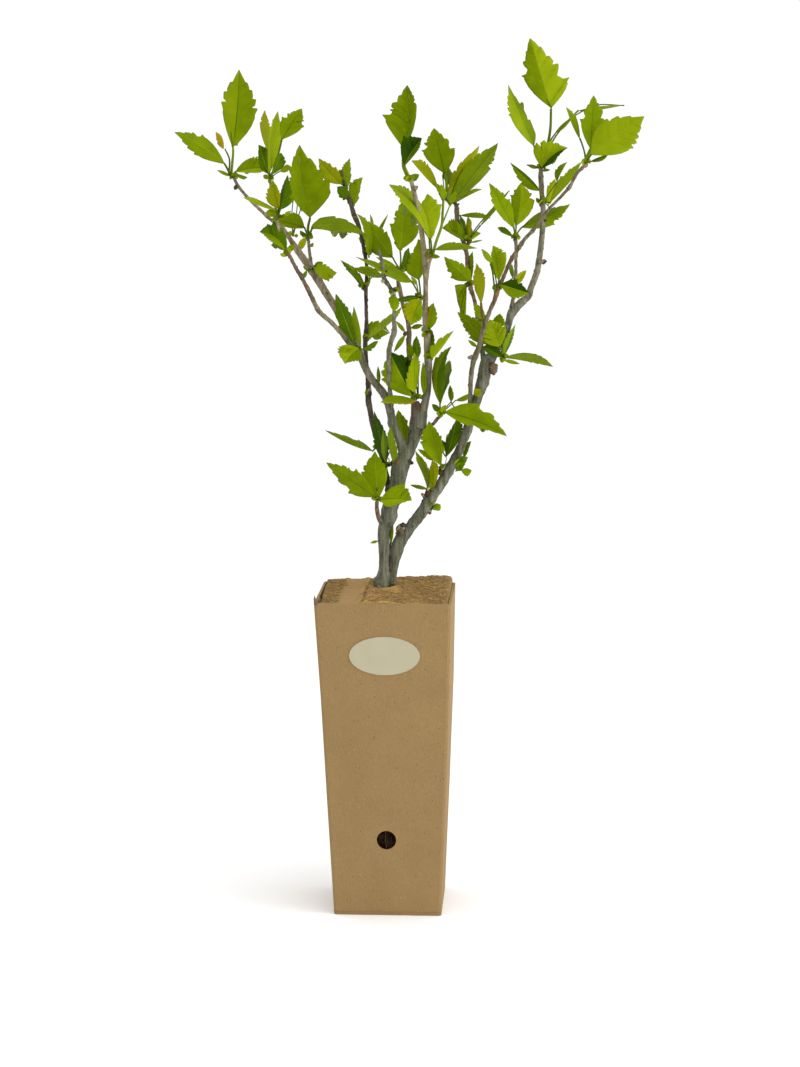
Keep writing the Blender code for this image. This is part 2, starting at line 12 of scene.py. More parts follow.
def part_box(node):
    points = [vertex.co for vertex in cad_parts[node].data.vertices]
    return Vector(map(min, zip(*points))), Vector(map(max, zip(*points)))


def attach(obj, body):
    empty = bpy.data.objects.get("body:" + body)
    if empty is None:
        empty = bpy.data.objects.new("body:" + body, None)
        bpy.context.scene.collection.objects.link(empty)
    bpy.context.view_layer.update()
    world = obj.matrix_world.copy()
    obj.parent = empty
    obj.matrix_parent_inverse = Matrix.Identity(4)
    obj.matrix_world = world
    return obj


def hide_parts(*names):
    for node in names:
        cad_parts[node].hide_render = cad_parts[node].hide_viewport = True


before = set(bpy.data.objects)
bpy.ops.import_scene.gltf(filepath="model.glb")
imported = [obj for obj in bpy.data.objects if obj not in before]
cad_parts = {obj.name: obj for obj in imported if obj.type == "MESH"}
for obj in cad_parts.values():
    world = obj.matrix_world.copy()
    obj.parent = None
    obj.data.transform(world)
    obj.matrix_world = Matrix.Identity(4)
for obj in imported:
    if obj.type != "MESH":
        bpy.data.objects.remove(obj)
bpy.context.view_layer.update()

# ------------------------------------------------------------------ the elevation, as in the CAD
EYE_TURN, EYE_PITCH, EYE_FAR = math.radians(3.0), math.radians(8.3), 2.62
EYE_AIM = Vector((0.0094, 0.0, 0.3644))
UNITS_PER_RADIAN = 2720.0
MIDDLE = (400.0, 533.5)
UNIT = 0.000956
BACK = Vector(
    (
        math.sin(EYE_TURN) * math.cos(EYE_PITCH),
        -math.cos(EYE_TURN) * math.cos(EYE_PITCH),
        math.sin(EYE_PITCH),
    )
)
RIGHT = Vector((math.cos(EYE_TURN), math.sin(EYE_TURN), 0.0))
UP = RIGHT.cross(-BACK)
EYE = EYE_AIM + BACK * EYE_FAR


def sight(across, down, deep):
    """The point at depth `deep` (mm, +Y) on the line of sight through a place on the elevation."""
    way = (
        -BACK
        + RIGHT * ((across - MIDDLE[0]) / UNITS_PER_RADIAN)
        - UP * ((down - MIDDLE[1]) / UNITS_PER_RADIAN)
    )
    return EYE + way * ((deep / 1000 - EYE.y) / way.y)


# ------------------------------------------------------------------ materials
def shader_of(name, colour, roughness, specular=0.5, sheen=0.0):
    made = bpy.data.materials.new(name)
    made.use_nodes = True
    tree = made.node_tree
    bsdf = tree.nodes["Principled BSDF"]
    bsdf.inputs["Base Color"].default_value = (*colour, 1.0)
    bsdf.inputs["Roughness"].default_value = roughness
    bsdf.inputs["Specular IOR Level"].default_value = specular
    if sheen:
        bsdf.inputs["Sheen Weight"].default_value = sheen
        bsdf.inputs["Sheen Roughness"].default_value = 0.5
    return made, tree, bsdf


def add(tree, kind, x=0, y=0, **values):
    node = tree.nodes.new(kind)
    node.location = (x, y)
    for key, value in values.items():
        if hasattr(node, key) and key not in ("Scale",):
            setattr(node, key, value)
    return node


def noise_at(tree, coords, scale, detail=3.0, rough=0.5, stretch=None, distortion=0.0):
    """A noise texture on object coordinates, with its pattern stretched where asked."""
    source = coords
    if stretch:
        mapping = tree.nodes.new("ShaderNodeMapping")
        mapping.inputs["Scale"].default_value = stretch
        tree.links.new(coords, mapping.inputs["Vector"])
        source = mapping.outputs["Vector"]
    tex = tree.nodes.new("ShaderNodeTexNoise")
    tex.inputs["Scale"].default_value = scale
    tex.inputs["Detail"].default_value = detail
    tex.inputs["Roughness"].default_value = rough
    tex.inputs["Distortion"].default_value = distortion
    tree.links.new(source, tex.inputs["Vector"])
    return tex.outputs["Fac"]


def ramp(tree, fac, stops):
    node = tree.nodes.new("ShaderNodeValToRGB")
    element = node.color_ramp.elements
    while len(element) < len(stops):
        element.new(0.5)
    for e, (at, colour) in zip(element, stops):
        e.position = at
        e.color = (*colour, 1.0) if len(colour) == 3 else colour
    tree.links.new(fac, node.inputs["Fac"])
    return node.outputs["Color"]


def mix(tree, fac, a, b, how="MIX"):
    node = tree.nodes.new("ShaderNodeMix")
    node.data_type = "RGBA"
    node.blend_type = how
    for socket, value in (("Factor", fac), ("A", a), ("B", b)):
        target = [s for s in node.inputs if s.name == socket and s.enabled][-1]
        if hasattr(value, "is_linked"):
            tree.links.new(value, target)
        elif isinstance(value, (int, float)):
            target.default_value = value
        else:
            target.default_value = (*value, 1.0)
    return [s for s in node.outputs if s.enabled][0]


def bump(tree, bsdf, height, strength, distance, previous=None):
    node = tree.nodes.new("ShaderNodeBump")
    node.inputs["Strength"].default_value = strength
    node.inputs["Distance"].default_value = distance
    tree.links.new(height, node.inputs["Height"])
    if previous is not None:
        tree.links.new(previous, node.inputs["Normal"])
    if bsdf is not None:
        tree.links.new(node.outputs["Normal"], bsdf.inputs["Normal"])
    return node.outputs["Normal"]


def object_coords(tree):
    return tree.nodes.new("ShaderNodeTexCoord").outputs["Object"]


def leaf_material(name, colour, shade, roughness=0.60, specular=0.04):
    """Leaf tissue: a plain tone with slight cloudy variation and a fine grain."""
    made, tree, bsdf = shader_of(name, colour, roughness, specular)
    bsdf.inputs["Specular Tint"].default_value = (0.90, 1.0, 0.45, 1.0)
    coords = object_coords(tree)
    cloud = noise_at(tree, coords, 70, 2.0)
    tone = ramp(tree, cloud, [(0.30, shade), (0.68, colour)])
    tree.links.new(tone, bsdf.inputs["Base Color"])
    grain = noise_at(tree, coords, 900, 2.0)
    bump(tree, bsdf, grain, 0.18, 0.0004)
    return made


def bark_material(name, base, dark, light, green, roughness, streak):
    """Woody stem: fine lengthwise streaks, blotches and pale lenticels."""
    made, tree, bsdf = shader_of(name, base, roughness, 0.10)
    coords = object_coords(tree)
    blotch = noise_at(tree, coords, 55, 4.0, 0.6)
    tone = ramp(tree, blotch, [(0.32, dark), (0.5, base), (0.70, light)])
    streaks = noise_at(tree, coords, streak, 4.0, 0.65, stretch=(1.0, 1.0, 0.13))
    tone = mix(tree, 0.72, tone, ramp(tree, streaks, [(0.34, dark), (0.52, base), (0.68, light)]))
    moss = ramp(tree, noise_at(tree, coords, 28, 2.0), [(0.52, (0, 0, 0)), (0.72, (0.5, 0.5, 0.5))])
    tone = mix(tree, moss, tone, green)
    spots = tree.nodes.new("ShaderNodeTexVoronoi")
    spots.inputs["Scale"].default_value = 420
    tree.links.new(coords, spots.inputs["Vector"])
    speck = ramp(tree, spots.outputs["Distance"], [(0.10, (1, 1, 1)), (0.22, (0, 0, 0))])
    tone = mix(tree, speck, tone, light)
    tree.links.new(tone, bsdf.inputs["Base Color"])
    first = bump(tree, None, streaks, 0.8, 0.0018)
    fine = noise_at(tree, coords, 800, 3.0, 0.6)
    bump(tree, bsdf, fine, 0.45, 0.0005, first)
    return made


def kraft_material():
    """Recycled kraft board: cloudy tan with fine fibres, dark and pale flecks."""
    base = (0.268, 0.172, 0.067)
    made, tree, bsdf = shader_of("kraft", base, 0.78, 0.22)
    coords = object_coords(tree)
    cloud = noise_at(tree, coords, 26, 4.0, 0.6)
    tone = ramp(tree, cloud, [(0.30, (0.246, 0.157, 0.060)), (0.5, base), (0.72, (0.290, 0.189, 0.076))])
    fibres = noise_at(tree, coords, 900, 3.0, 0.7, stretch=(1.0, 1.0, 0.35))
    tone = mix(tree, 0.35, tone, ramp(tree, fibres, [(0.30, (0.200, 0.124, 0.044)), (0.5, base), (0.72, (0.350, 0.236, 0.108))]))

    def flecks(scale, low, high, colour, amount, seed):
        nonlocal tone
        mapping = tree.nodes.new("ShaderNodeMapping")
        mapping.inputs["Location"].default_value = (seed, seed * 0.7, seed * 1.3)
        tree.links.new(coords, mapping.inputs["Vector"])
        cells = tree.nodes.new("ShaderNodeTexVoronoi")
        cells.inputs["Scale"].default_value = scale
        cells.inputs["Randomness"].default_value = 1.0
        tree.links.new(mapping.outputs["Vector"], cells.inputs["Vector"])
        where = ramp(tree, cells.outputs["Distance"], [(low, (amount,) * 3), (high, (0, 0, 0))])
        tone = mix(tree, where, tone, colour)

    flecks(150, 0.055, 0.10, (0.10, 0.055, 0.02), 0.85, 1.7)
    flecks(260, 0.06, 0.12, (0.42, 0.31, 0.18), 0.45, 4.2)
    flecks(90, 0.030, 0.055, (0.30, 0.09, 0.03), 0.8, 8.8)
    flecks(70, 0.024, 0.036, (0.50, 0.44, 0.36), 0.6, 12.1)
    # Painted shade: a dark line about 3 mm up, in the bottom crease, and a darker strip along the very bottom edge.
    split = tree.nodes.new("ShaderNodeSeparateXYZ")
    tree.links.new(coords, split.inputs["Vector"])
    height = tree.nodes.new("ShaderNodeMapRange")
    height.inputs["From Max"].default_value = 0.02
    tree.links.new(split.outputs["Z"], height.inputs["Value"])
    crease_shade_band = ramp(tree, height.outputs["Result"], [(0.0, (0.45, 0.45, 0.45)), (0.10, (0.20, 0.20, 0.20)), (0.15, (0.85, 0.85, 0.85)), (0.21, (0, 0, 0))])
    crease_shade_tone = mix(tree, noise_at(tree, coords, 120, 3.0), (0.15, 0.085, 0.035), (0.26, 0.165, 0.07))
    tone = mix(tree, crease_shade_band, tone, crease_shade_tone)
    tree.links.new(tone, bsdf.inputs["Base Color"])
    first = bump(tree, None, cloud, 0.25, 0.0015)
    bump(tree, bsdf, fibres, 0.30, 0.0004, first)
    return made


def soft_material(name, stops, scale, roughness, grain, depth, specular=0.2):
    made, tree, bsdf = shader_of(name, stops[len(stops) // 2][1], roughness, specular)
    coords = object_coords(tree)
    cloud = noise_at(tree, coords, scale, 5.0, 0.62)
    tone = ramp(tree, cloud, stops)
    tree.links.new(tone, bsdf.inputs["Base Color"])
    bump(tree, bsdf, noise_at(tree, coords, grain, 4.0, 0.7), 0.5, depth)
    return made


# Leaf tones by letter: m is the plain leaf green, y the yellowish young leaves and o their orange-yellow rims. d and D
# are painted shade: darker copies of the green for leaves, half-leaves and their backs that lie in shade, D the
# deepest. l is a paler green for undersides, and on upper faces it is partly painted light, a lit copy of the green.
LEAF_GREENS_LIT_AND_SHADED = {
    "m": ((0.172, 0.238, 0.0010), (0.128, 0.190, 0.0010)),
    "l": ((0.230, 0.295, 0.0030), (0.185, 0.250, 0.0020)),
    "d": ((0.082, 0.150, 0.0010), (0.052, 0.108, 0.0010)),
    "D": ((0.030, 0.072, 0.0010), (0.018, 0.048, 0.0010)),
    "y": ((0.262, 0.278, 0.0030), (0.205, 0.240, 0.0020)),
    "o": ((0.370, 0.270, 0.0080), (0.290, 0.245, 0.0050)),
}
LEAF = {key: leaf_material("leaf_" + ("x" if key == "D" else "") + key.lower(), *tones) for key, tones in LEAF_GREENS_LIT_AND_SHADED.items()}
VEIN_PALE = leaf_material("leaf_vein_pale", (0.225, 0.300, 0.010), (0.180, 0.255, 0.008))
VEIN_DARK = leaf_material("leaf_vein_dark", (0.110, 0.170, 0.002), (0.080, 0.135, 0.002))
STALK = leaf_material("green_stalk", (0.095, 0.140, 0.004), (0.055, 0.090, 0.003), 0.5)
STALK_WARM = leaf_material("warm_stalk", (0.160, 0.090, 0.035), (0.095, 0.062, 0.024), 0.6)
STALK_BRIGHT = leaf_material("bright_stalk", (0.170, 0.230, 0.004), (0.110, 0.165, 0.003), 0.5)
HAIR_PALE = leaf_material("dry_hair", (0.420, 0.380, 0.260), (0.330, 0.290, 0.190), 0.7)
BUD_BROWN = leaf_material("brown_bud", (0.090, 0.052, 0.026), (0.048, 0.028, 0.015), 0.75)
BUD_ORANGE = leaf_material("orange_bud", (0.300, 0.150, 0.040), (0.190, 0.095, 0.026), 0.7)
BUD_PINK = leaf_material("pink_bud", (0.330, 0.200, 0.130), (0.220, 0.130, 0.080), 0.7)
OLD_BARK = bark_material("old_bark_relief", (0.128, 0.128, 0.086), (0.040, 0.040, 0.025), (0.235, 0.235, 0.180), (0.100, 0.112, 0.050), 0.86, 240)
MID_BARK = bark_material("mid_bark_relief", (0.150, 0.140, 0.090), (0.050, 0.044, 0.026), (0.290, 0.265, 0.195), (0.120, 0.125, 0.055), 0.80, 280)
YOUNG_BARK = bark_material("young_bark_relief", (0.205, 0.165, 0.100), (0.072, 0.052, 0.030), (0.350, 0.300, 0.215), (0.150, 0.140, 0.062), 0.76, 320)
SMOOTH_BARK = bark_material("smooth_bark_relief", (0.245, 0.205, 0.118), (0.110, 0.086, 0.046), (0.350, 0.305, 0.200), (0.190, 0.180, 0.080), 0.70, 330)
PINK_BARK = bark_material("pink_bark_relief", (0.146, 0.121, 0.072), (0.050, 0.036, 0.021), (0.300, 0.252, 0.172), (0.112, 0.112, 0.048), 0.74, 330)
BROWN_BARK = bark_material("brown_bark_relief", (0.135, 0.090, 0.052), (0.044, 0.027, 0.016), (0.260, 0.190, 0.125), (0.110, 0.095, 0.042), 0.74, 330)
DARK_BARK = bark_material("dark_bark_relief", (0.056, 0.043, 0.029), (0.018, 0.013, 0.010), (0.165, 0.130, 0.092), (0.066, 0.058, 0.028), 0.76, 330)

# ------------------------------------------------------------------ mesh helpers
class Heap:
    """Collects vertices and faces of many small things that become one piece."""

    def __init__(self):
        self.points, self.faces, self.slots, self.materials = [], [], [], []

    def slot(self, material):
        if material not in self.materials:
            self.materials.append(material)
        return self.materials.index(material)

    def add(self, points, faces, materials):
        start = len(self.points)
        self.points.extend(points)
        for face, material in zip(faces, materials):
            self.faces.append(tuple(start + i for i in face))
            self.slots.append(self.slot(material))

    def piece(self, name, smooth=True):
        mesh = bpy.data.meshes.new(name)
        mesh.from_pydata([tuple(p) for p in self.points], [], self.faces)
        for material in self.materials:
            mesh.materials.append(material)
        mesh.polygons.foreach_set("material_index", np.array(self.slots, dtype=np.int32))
        mesh.polygons.foreach_set("use_smooth", np.full(len(self.faces), smooth, dtype=bool))
        mesh.update()
        made = bpy.data.objects.new(name, mesh)
        bpy.context.scene.collection.objects.link(made)
        return made


def through(points, t):
    i = min(int(t), len(points) - 2)
    f = t - i
    p1, p2 = points[i], points[i + 1]
    p0 = points[i - 1] if i else p1 * 2 - p2
    p3 = points[i + 2] if i + 2 < len(points) else p2 * 2 - p1
    return (p1 * 2 + (p2 - p0) * f + (p0 * 2 - p1 * 5 + p2 * 4 - p3) * f * f + (p1 * 3 - p0 - p2 * 3 + p3) * f ** 3) * 0.5


def tube(heap, places, radii, material, sides=8, step=0.0015, relief=None, cap=True, bands=()):
    """A tapering tube through places; relief(t, angle, here, radius) gives the final radius."""
    values = []
    for i in range(len(places) - 1):
        rings = max(1, math.ceil((places[i + 1] - places[i]).length / step))
        values += [i + k / rings for k in range(rings)]
    values.append(len(places) - 1)
    points, faces, kinds, side, last, run = [], [], [], None, None, 0.0
    for t in values:
        here = through(places, t)
        run += (here - last).length if last is not None else 0.0
        last = here
        ahead = through(places, min(t + 0.04, len(places) - 1))
        behind = through(places, max(t - 0.04, 0))
        way = (ahead - behind).normalized()
        side = way.orthogonal().normalized() if side is None else side
        side = (side - way * side.dot(way)).normalized()
        across = way.cross(side)
        radius = max(through(radii, t), 0.0002)
        for k in range(sides):
            a = 2 * math.pi * k / sides
            out = side * math.cos(a) + across * math.sin(a)
            r = relief(run, a, here, out, radius) if relief else radius
            points.append(here + out * r)
    rings = len(values)
    for ring in range(rings - 1):
        tones = [other for low, high, other in bands if low <= values[ring] < high]
        for k in range(sides):
            n = (k + 1) % sides
            faces.append((ring * sides + k, ring * sides + n, (ring + 1) * sides + n, (ring + 1) * sides + k))
            kinds.append(tones[0] if tones else material)
    if cap:
        foot, tip = len(points), len(points) + 1
        points.append(through(places, 0) * 1.0)
        end = through(places, len(places) - 1)
        way = (end - through(places, len(places) - 1.06)).normalized()
        points.append(end + way * radii[-1] * 0.7)
        base = (rings - 1) * sides
        for k in range(sides):
            n = (k + 1) % sides
            faces.append((foot, n, k))
            faces.append((tip, base + k, base + n))
            kinds += [material, material]
    heap.add(points, faces, kinds)


def blob(heap, centre, axis, length, width, material, seed=0, sides=8, rings=6, rough=0.12, tip=0.0):
    """A small closed bud, knob or scar on an axis."""
    axis = axis.normalized()
    side = axis.orthogonal().normalized()
    across = axis.cross(side)
    points, faces = [centre - axis * length * 0.5], []
    for i in range(1, rings):
        f = i / rings
        swell = math.sin(math.pi * f) ** 0.7
        if tip:
            swell *= 1 - tip * f
        for k in range(sides):
            a = 2 * math.pi * k / sides
            n = 1 + rough * noise.noise(Vector((f * 4 + seed, math.cos(a) * 1.7, math.sin(a) * 1.7)))
            points.append(centre + axis * (f - 0.5) * length + (side * math.cos(a) + across * math.sin(a)) * width * 0.5 * swell * n)
    points.append(centre + axis * length * 0.5)
    for k in range(sides):
        n = (k + 1) % sides
        faces.append((0, 1 + n, 1 + k))
        for ring in range(rings - 2):
            a = 1 + ring * sides
            faces.append((a + k, a + n, a + sides + n, a + sides + k))
        faces.append((1 + (rings - 2) * sides + k, 1 + (rings - 2) * sides + n, len(points) - 1))
    heap.add(points, faces, [material] * len(faces))


# ------------------------------------------------------------------ limbs
# name: material, then stations (across, down, depth in mm, thickness in units): the CAD's limbs at a finer step
LIMBS = {
    "trunk": (OLD_BARK,
        (381.8, 593, 0, 15), (381.6, 584, 0, 16.6), (383.2, 577, 0, 14.4), (384.3, 568, 0, 11.6), (384.4, 556, 0, 10.8), (384, 541, 0, 11.6),
        (384.2, 530, 0, 12), (388.6, 518, 0, 16.2), (389.8, 509, 0, 15.2), (394, 497, 0, 15.6), (397, 487, 0, 15.8),
        (398.4, 477, 0, 16.2), (400.6, 467, 0, 17.6), (405, 456, -1, 15.4), (411, 446, -2, 11.8), (416, 436, -3.5, 10.4),
        (419, 425, -5, 11), (420.5, 417, -6, 11), (418, 405, -7, 6)),
    "stem_right": (OLD_BARK,
        (391.6, 584, 3, 9.4), (392.8, 571, 3, 9.6), (394.6, 560, 3, 10.8), (396.8, 550, 3, 12.8), (400.4, 540, 3, 13),
        (408, 530, 3, 11.4), (415, 521, 2.5, 11.4), (423.6, 510, 2, 11.4), (430, 500, 1, 11.2), (436, 491, 0.5, 10.4),
        (442.6, 481, 0, 10.5), (448.2, 471, -1, 10.2), (454.4, 460, -2, 9.8), (459.4, 450, -2.5, 8.8), (463.8, 439, -3.5, 8.8),
        (467.6, 429, -4.5, 9.8), (471.4, 417, -5, 9.4), (477, 399, -5.5, 9.6), (480.8, 387, -6, 11.6), (484, 376, -6, 12.6),
        (485.6, 364, -5.5, 11.6), (488, 358, -5, 11)),
    "bough_right_back": (MID_BARK,
        (488, 362, -5, 10.6), (497, 348, 0, 8.6), (503.5, 338, 6, 7.4), (507.6, 327, 12, 6.8), (510.6, 316, 17, 8),
        (515, 309, 21, 8.6), (522, 302, 25, 7.6), (528.6, 296, 28, 6.4), (531, 288, 31, 6.4), (534.4, 279, 36, 6.2),
        (537.6, 269, 42, 6.2), (539.4, 258, 47, 6), (540.8, 247, 51, 5.8), (542.2, 232, 58, 5.5), (543.4, 215, 64, 5.3),
        (542.4, 200, 70, 5.2), (541, 182, 77, 5.2), (541, 168, 81, 4.4)),
    "bough_right_front": (PINK_BARK,
        (470.4, 415, -6, 5.4), (470.2, 398, -10, 4.4), (470.6, 387, -14, 4.5), (471.2, 375, -18, 4.6), (472.8, 364, -22.5, 5),
        (475.4, 356, -26, 5.6), (478.8, 347, -30, 5), (481.2, 337, -34, 4.5), (484.4, 326, -39, 4.2), (489.4, 312, -46, 4.1),
        (494.2, 301, -52, 4.2), (497, 292, -57, 4.4), (502.3, 280, -62, 3.7), (506.4, 270, -67, 3.7), (511.2, 260, -73, 4),
        (517.4, 250, -78, 3.9), (524.4, 239.4, -83, 3.6), (532.4, 231, -88, 3.3), (538, 223, -92, 2.8), (544.4, 214.6, -96, 2.8),
        (551.2, 206.6, -100, 2.9), (560, 197.6, -105, 2.9), (569.4, 187, -110, 3), (577, 173.6, -114.5, 2.8), (586, 164, -118, 2.8)),
    "bough_right_inner": (PINK_BARK,
        (512, 308, 20, 4.4), (513.2, 298, 26, 3.7), (515.6, 276, 39, 3.6), (516, 262, 46, 3), (516.3, 248, 55, 3.7),
        (515.4, 238, 61, 3.4)),
    "bough_centre_front": (SMOOTH_BARK,
        (420.8, 427, -6, 9.2), (423.6, 410, -9, 8.2), (427.2, 391, -13.5, 7.4), (427.8, 374, -18.5, 7.8), (428.2, 362, -22.5, 7.7),
        (427.6, 350, -26.5, 7.3), (427.2, 338, -30.5, 7.1), (426.2, 325, -34.5, 6.8), (425, 312, -39, 6.1), (425.6, 297, -44, 4.9),
        (425.6, 280, -51, 4.8), (424.4, 255, -60, 5), (421, 228, -71, 4.9), (417, 205, -80, 4.8), (412, 184, -90, 4),
        (410, 179, -93, 3.4)),
    "spur_centre_front": (SMOOTH_BARK,
        (426, 279, -50, 4), (428.5, 266, -60, 3.2), (431, 257, -70, 3.2)),
    "bough_left_back": (YOUNG_BARK,
        (406, 458, -2, 10.5), (399.4, 439, -6, 8.4), (393.6, 427, -9, 8.6), (390.8, 414, -11, 8.2), (388, 403, -12, 8),
        (383.3, 393.3, -13, 8), (376.4, 384.6, -14, 7.6), (369.6, 375.6, -14, 7.2), (364.6, 366, -14, 7.4), (359, 352, -11, 7.4),
        (351.4, 336, -6.4, 7), (343, 321, 0, 7), (334, 305.5, 7, 7.4), (326, 293, 13, 7.6), (318, 280, 20, 7.7),
        (308.4, 265.6, 27, 7.4), (299, 252.4, 34, 6.6), (290.4, 239.6, 41, 5), (281, 226.4, 47, 4.2), (270, 219, 54, 3.6),
        (262, 211.4, 59, 3.4), (252, 202, 64.5, 3.3), (243.6, 193, 70, 3.2), (237, 184, 74, 3.2), (234, 178, 76, 3)),
    "bough_left_front": (YOUNG_BARK,
        (358, 356, -14, 5.4), (345, 338, -27, 4.6), (332, 323, -38, 4.4), (319, 311, -48, 4.6), (306.8, 287, -63.5, 4),
        (301, 276.6, -70, 3.8), (294.6, 265.6, -76.5, 3.5), (286.9, 250.4, -86, 3.3), (281, 238, -92.5, 3), (277.6, 222, -99.5, 2.8),
        (275.6, 208, -104, 2.4), (271.4, 190, -109, 2.2), (270, 178, -111, 2.2)),
    "spur_left": (YOUNG_BARK,
        (312, 271, 26, 3.8), (309.5, 252, 8, 3), (308, 238, -10, 3)),
    "bough_back_left": (DARK_BARK,
        (389.5, 505, 2, 7), (388, 486, 11, 6), (385, 470, 18, 5.8), (378.6, 443, 27.5, 5.2), (373, 427, 33, 4.8),
        (370.6, 413, 37.5, 5.6), (368.4, 399, 42, 6.2), (368.4, 386, 45.5, 5.2), (367.4, 375, 49, 4.2), (366, 357, 54, 4.2),
        (365.2, 342, 59, 4.8), (366.2, 332, 62, 5.3), (366.6, 321, 66, 4), (366, 306, 71.5, 3.6), (365.9, 292, 76.5, 3.8),
        (366.6, 275, 82, 3.4), (366.4, 263, 86, 3.7), (364.4, 251, 90, 4.2), (361.6, 238, 94.5, 3.6), (358, 224, 99, 4.8),
        (353.8, 214, 102, 5.2), (350.6, 203.6, 106, 4.2), (346.8, 194.6, 109, 4.6), (343, 180, 113, 3.2)),
    "bough_front": (MID_BARK,
        (391, 405, -12, 4.8), (390, 390, -20, 4.3), (389.2, 370, -29, 4.2), (388.9, 352, -36, 4.8), (391.4, 340, -41, 4.6),
        (394.4, 331.6, -44.5, 5.2), (394, 320, -49, 4), (393.9, 308, -53.5, 3.5), (393, 294, -58.5, 4.6), (389, 286, -62, 3.9),
        (384.2, 278, -65.5, 3.9), (382, 262, -73, 3.4), (378.5, 250, -79, 3)),
    "bough_back_centre": (BROWN_BARK,
        (411, 440, 2, 5.4), (411.4, 425, 10, 4.4), (413.3, 408, 19, 4.5), (411.6, 382, 31, 4.3), (409.2, 357, 43, 4.2),
        (408.7, 343, 49, 5.1), (409.2, 332, 53.5, 4.6), (407.6, 321, 58, 4.3), (404.6, 311, 62.5, 4), (402, 301, 67, 3.8),
        (399.8, 289, 71.5, 4.5), (398, 280, 75, 3.6), (400, 270, 79, 3.2)),
    "bough_back_right": (BROWN_BARK,
        (486, 370, -1, 6), (482, 350, 17, 5), (479, 330, 34, 4.2), (477, 315, 46, 3.6), (474.6, 301, 57, 3.8),
        (471.4, 290, 65, 4.4), (469.6, 281, 72, 4.6), (467.4, 266, 83, 4.4), (466.6, 253, 91, 4.4), (462, 237, 102, 4.7),
        (457.6, 224, 110.5, 4.7), (456.6, 211, 118, 4.6), (455, 203.4, 121.5, 3.9), (447, 199, 125, 3.2)),
    "spur_trunk": (BROWN_BARK,
        (383, 524, -2, 5), (378.6, 517, -9, 4.6), (376.8, 507, -19, 4), (377, 500, -26, 3.6)),
    "spur_low_right": (BROWN_BARK,
        (419, 433, -6, 4.6), (427, 429, -9.5, 3.6), (434.2, 423, -14.5, 3.2), (441, 414, -20, 3)),
}
# Knots and swellings: limb, (across, down, depth), reach in units, rise in units
KNOTS = (
    ("trunk", (398, 517, -4), 6, 2.4), ("trunk", (388, 512, 0), 9, 0.8), ("trunk", (400, 478, 0), 8, 0.8), ("trunk", (384, 545, 0), 6, 0.5),
    ("trunk", (375, 583, -4), 6, 1.6),
    ("stem_right", (402, 552, 0), 4, 1.2), ("stem_right", (406, 543, 0), 4, 1.2), ("stem_right", (422, 500, 1), 5, 1.0),
    ("stem_right", (453.3, 474.4, -2), 5, 1.3), ("stem_right", (488.3, 384.4, -6), 5, 1.2), ("stem_right", (488, 366, -5), 8, 1.0),
    ("bough_right_back", (509, 310, 18), 6, 1.4), ("bough_right_back", (522, 302, 25), 5, 1.2),
    ("bough_right_back", (538.5, 262, 44), 4, 1.6), ("bough_right_back", (543, 222, 60), 4, 0.8),
    ("bough_right_front", (475, 357, -26), 4, 1.2), ("bough_right_front", (496.4, 293, -57), 4, 1.3),
    ("bough_right_front", (521.5, 244, -81), 4, 1.3), ("bough_right_front", (532.4, 231.5, -88), 3, 1.1),
    ("bough_right_front", (570, 186.7, -110), 3, 1.2), ("bough_left_back", (386, 424, -9), 5, 1.8),
    ("bough_left_back", (336, 308, 6), 6, 0.8), ("bough_left_back", (297, 250, 36), 5, 1.2),
    ("bough_back_left", (373.3, 391, 44), 4, 1.6), ("bough_front", (393, 332, -44), 4, 0.8),
    ("bough_front", (393, 293, -58), 4, 1.2), ("bough_front", (382.8, 281, -66), 4, 1.2),
    ("bough_back_right", (468.9, 289, 65), 4, 1.2), ("bough_back_right", (457, 212, 117), 4, 1.0),
)
# Dried stubs and buds: (across, down, depth) foot and head, thickness in units
STUBS = (
    ((493, 366, -8), (494.4, 372, -13), 7.5), ((471.4, 357, -27), (468.6, 357.6, -31), 3.6), ((543, 263, 43), (546, 261, 38), 3.0),
    ((421, 414, -7), (417, 402, -9), 6.0), ((538, 263, 43), (545, 260, 38), 3.2),
    ((473, 357, -26), (469, 358, -30), 3.6), ((489, 368, -4), (494, 374, -12), 5.0),
    ((367.5, 393, 44), (370.5, 388, 38), 3.0), ((237, 186, 74), (234.5, 188, 70), 3.0),
    ((414, 190, -87), (417, 187, -92), 3.4), ((568, 189, -108), (571, 186, -112), 3.4),
    ((412, 463, -2), (409, 461, -8), 3.0), ((520, 246, -80), (522.5, 243, -84), 3.4),
    ((533, 231, -87), (530, 233, -91), 3.4), ((497, 291, -58), (494, 289, -62), 3.4),
    ((319, 312, -48), (316.5, 310, -52), 3.4), ((389, 347, -38), (392, 345, -42), 3.4),
    ((393, 292, -59), (396, 290, -63), 3.2), ((357, 219, 101), (354, 217, 97), 3.4),
    ((425, 497, 1), (422, 494, -5), 3.6), ((384, 273, -68), (387, 271, -71), 2.6),
    ((455, 206, 121), (459, 204, 118), 2.6), ((470, 276, 76), (467, 275, 72), 2.8),
    ((543, 222, 62), (546, 220, 58), 3.0), ((395, 491, 0), (390, 489, -6), 3.0),
)


# Older or darker wood along a limb, by station: each (first, last, material); one band is painted shade
WOOD_AND_SHADE_BANDS = {
    "bough_left_back": ((0, 3.2, OLD_BARK), (3.2, 9.0, MID_BARK)),
    "bough_centre_front": ((0, 1.0, OLD_BARK), (1.0, 4.2, MID_BARK)),
    "bough_right_back": ((0, 6.0, OLD_BARK), (14.6, 17.1, PINK_BARK)),
    # Painted shade: the brown band from station 9.4 to 15 darkens the stretch of this limb that lies in shade.
    "bough_right_front": ((0, 1.6, OLD_BARK), (9.4, 15.0, BROWN_BARK)),
    "bough_left_front": ((0, 1.2, MID_BARK), (3.4, 7.5, BROWN_BARK)),
    "bough_back_centre": ((0, 1.0, OLD_BARK),), "bough_back_right": ((0, 1.0, OLD_BARK),),
    "bough_back_left": ((0, 1.0, OLD_BARK),), "spur_trunk": ((0, 0.8, OLD_BARK),),
}


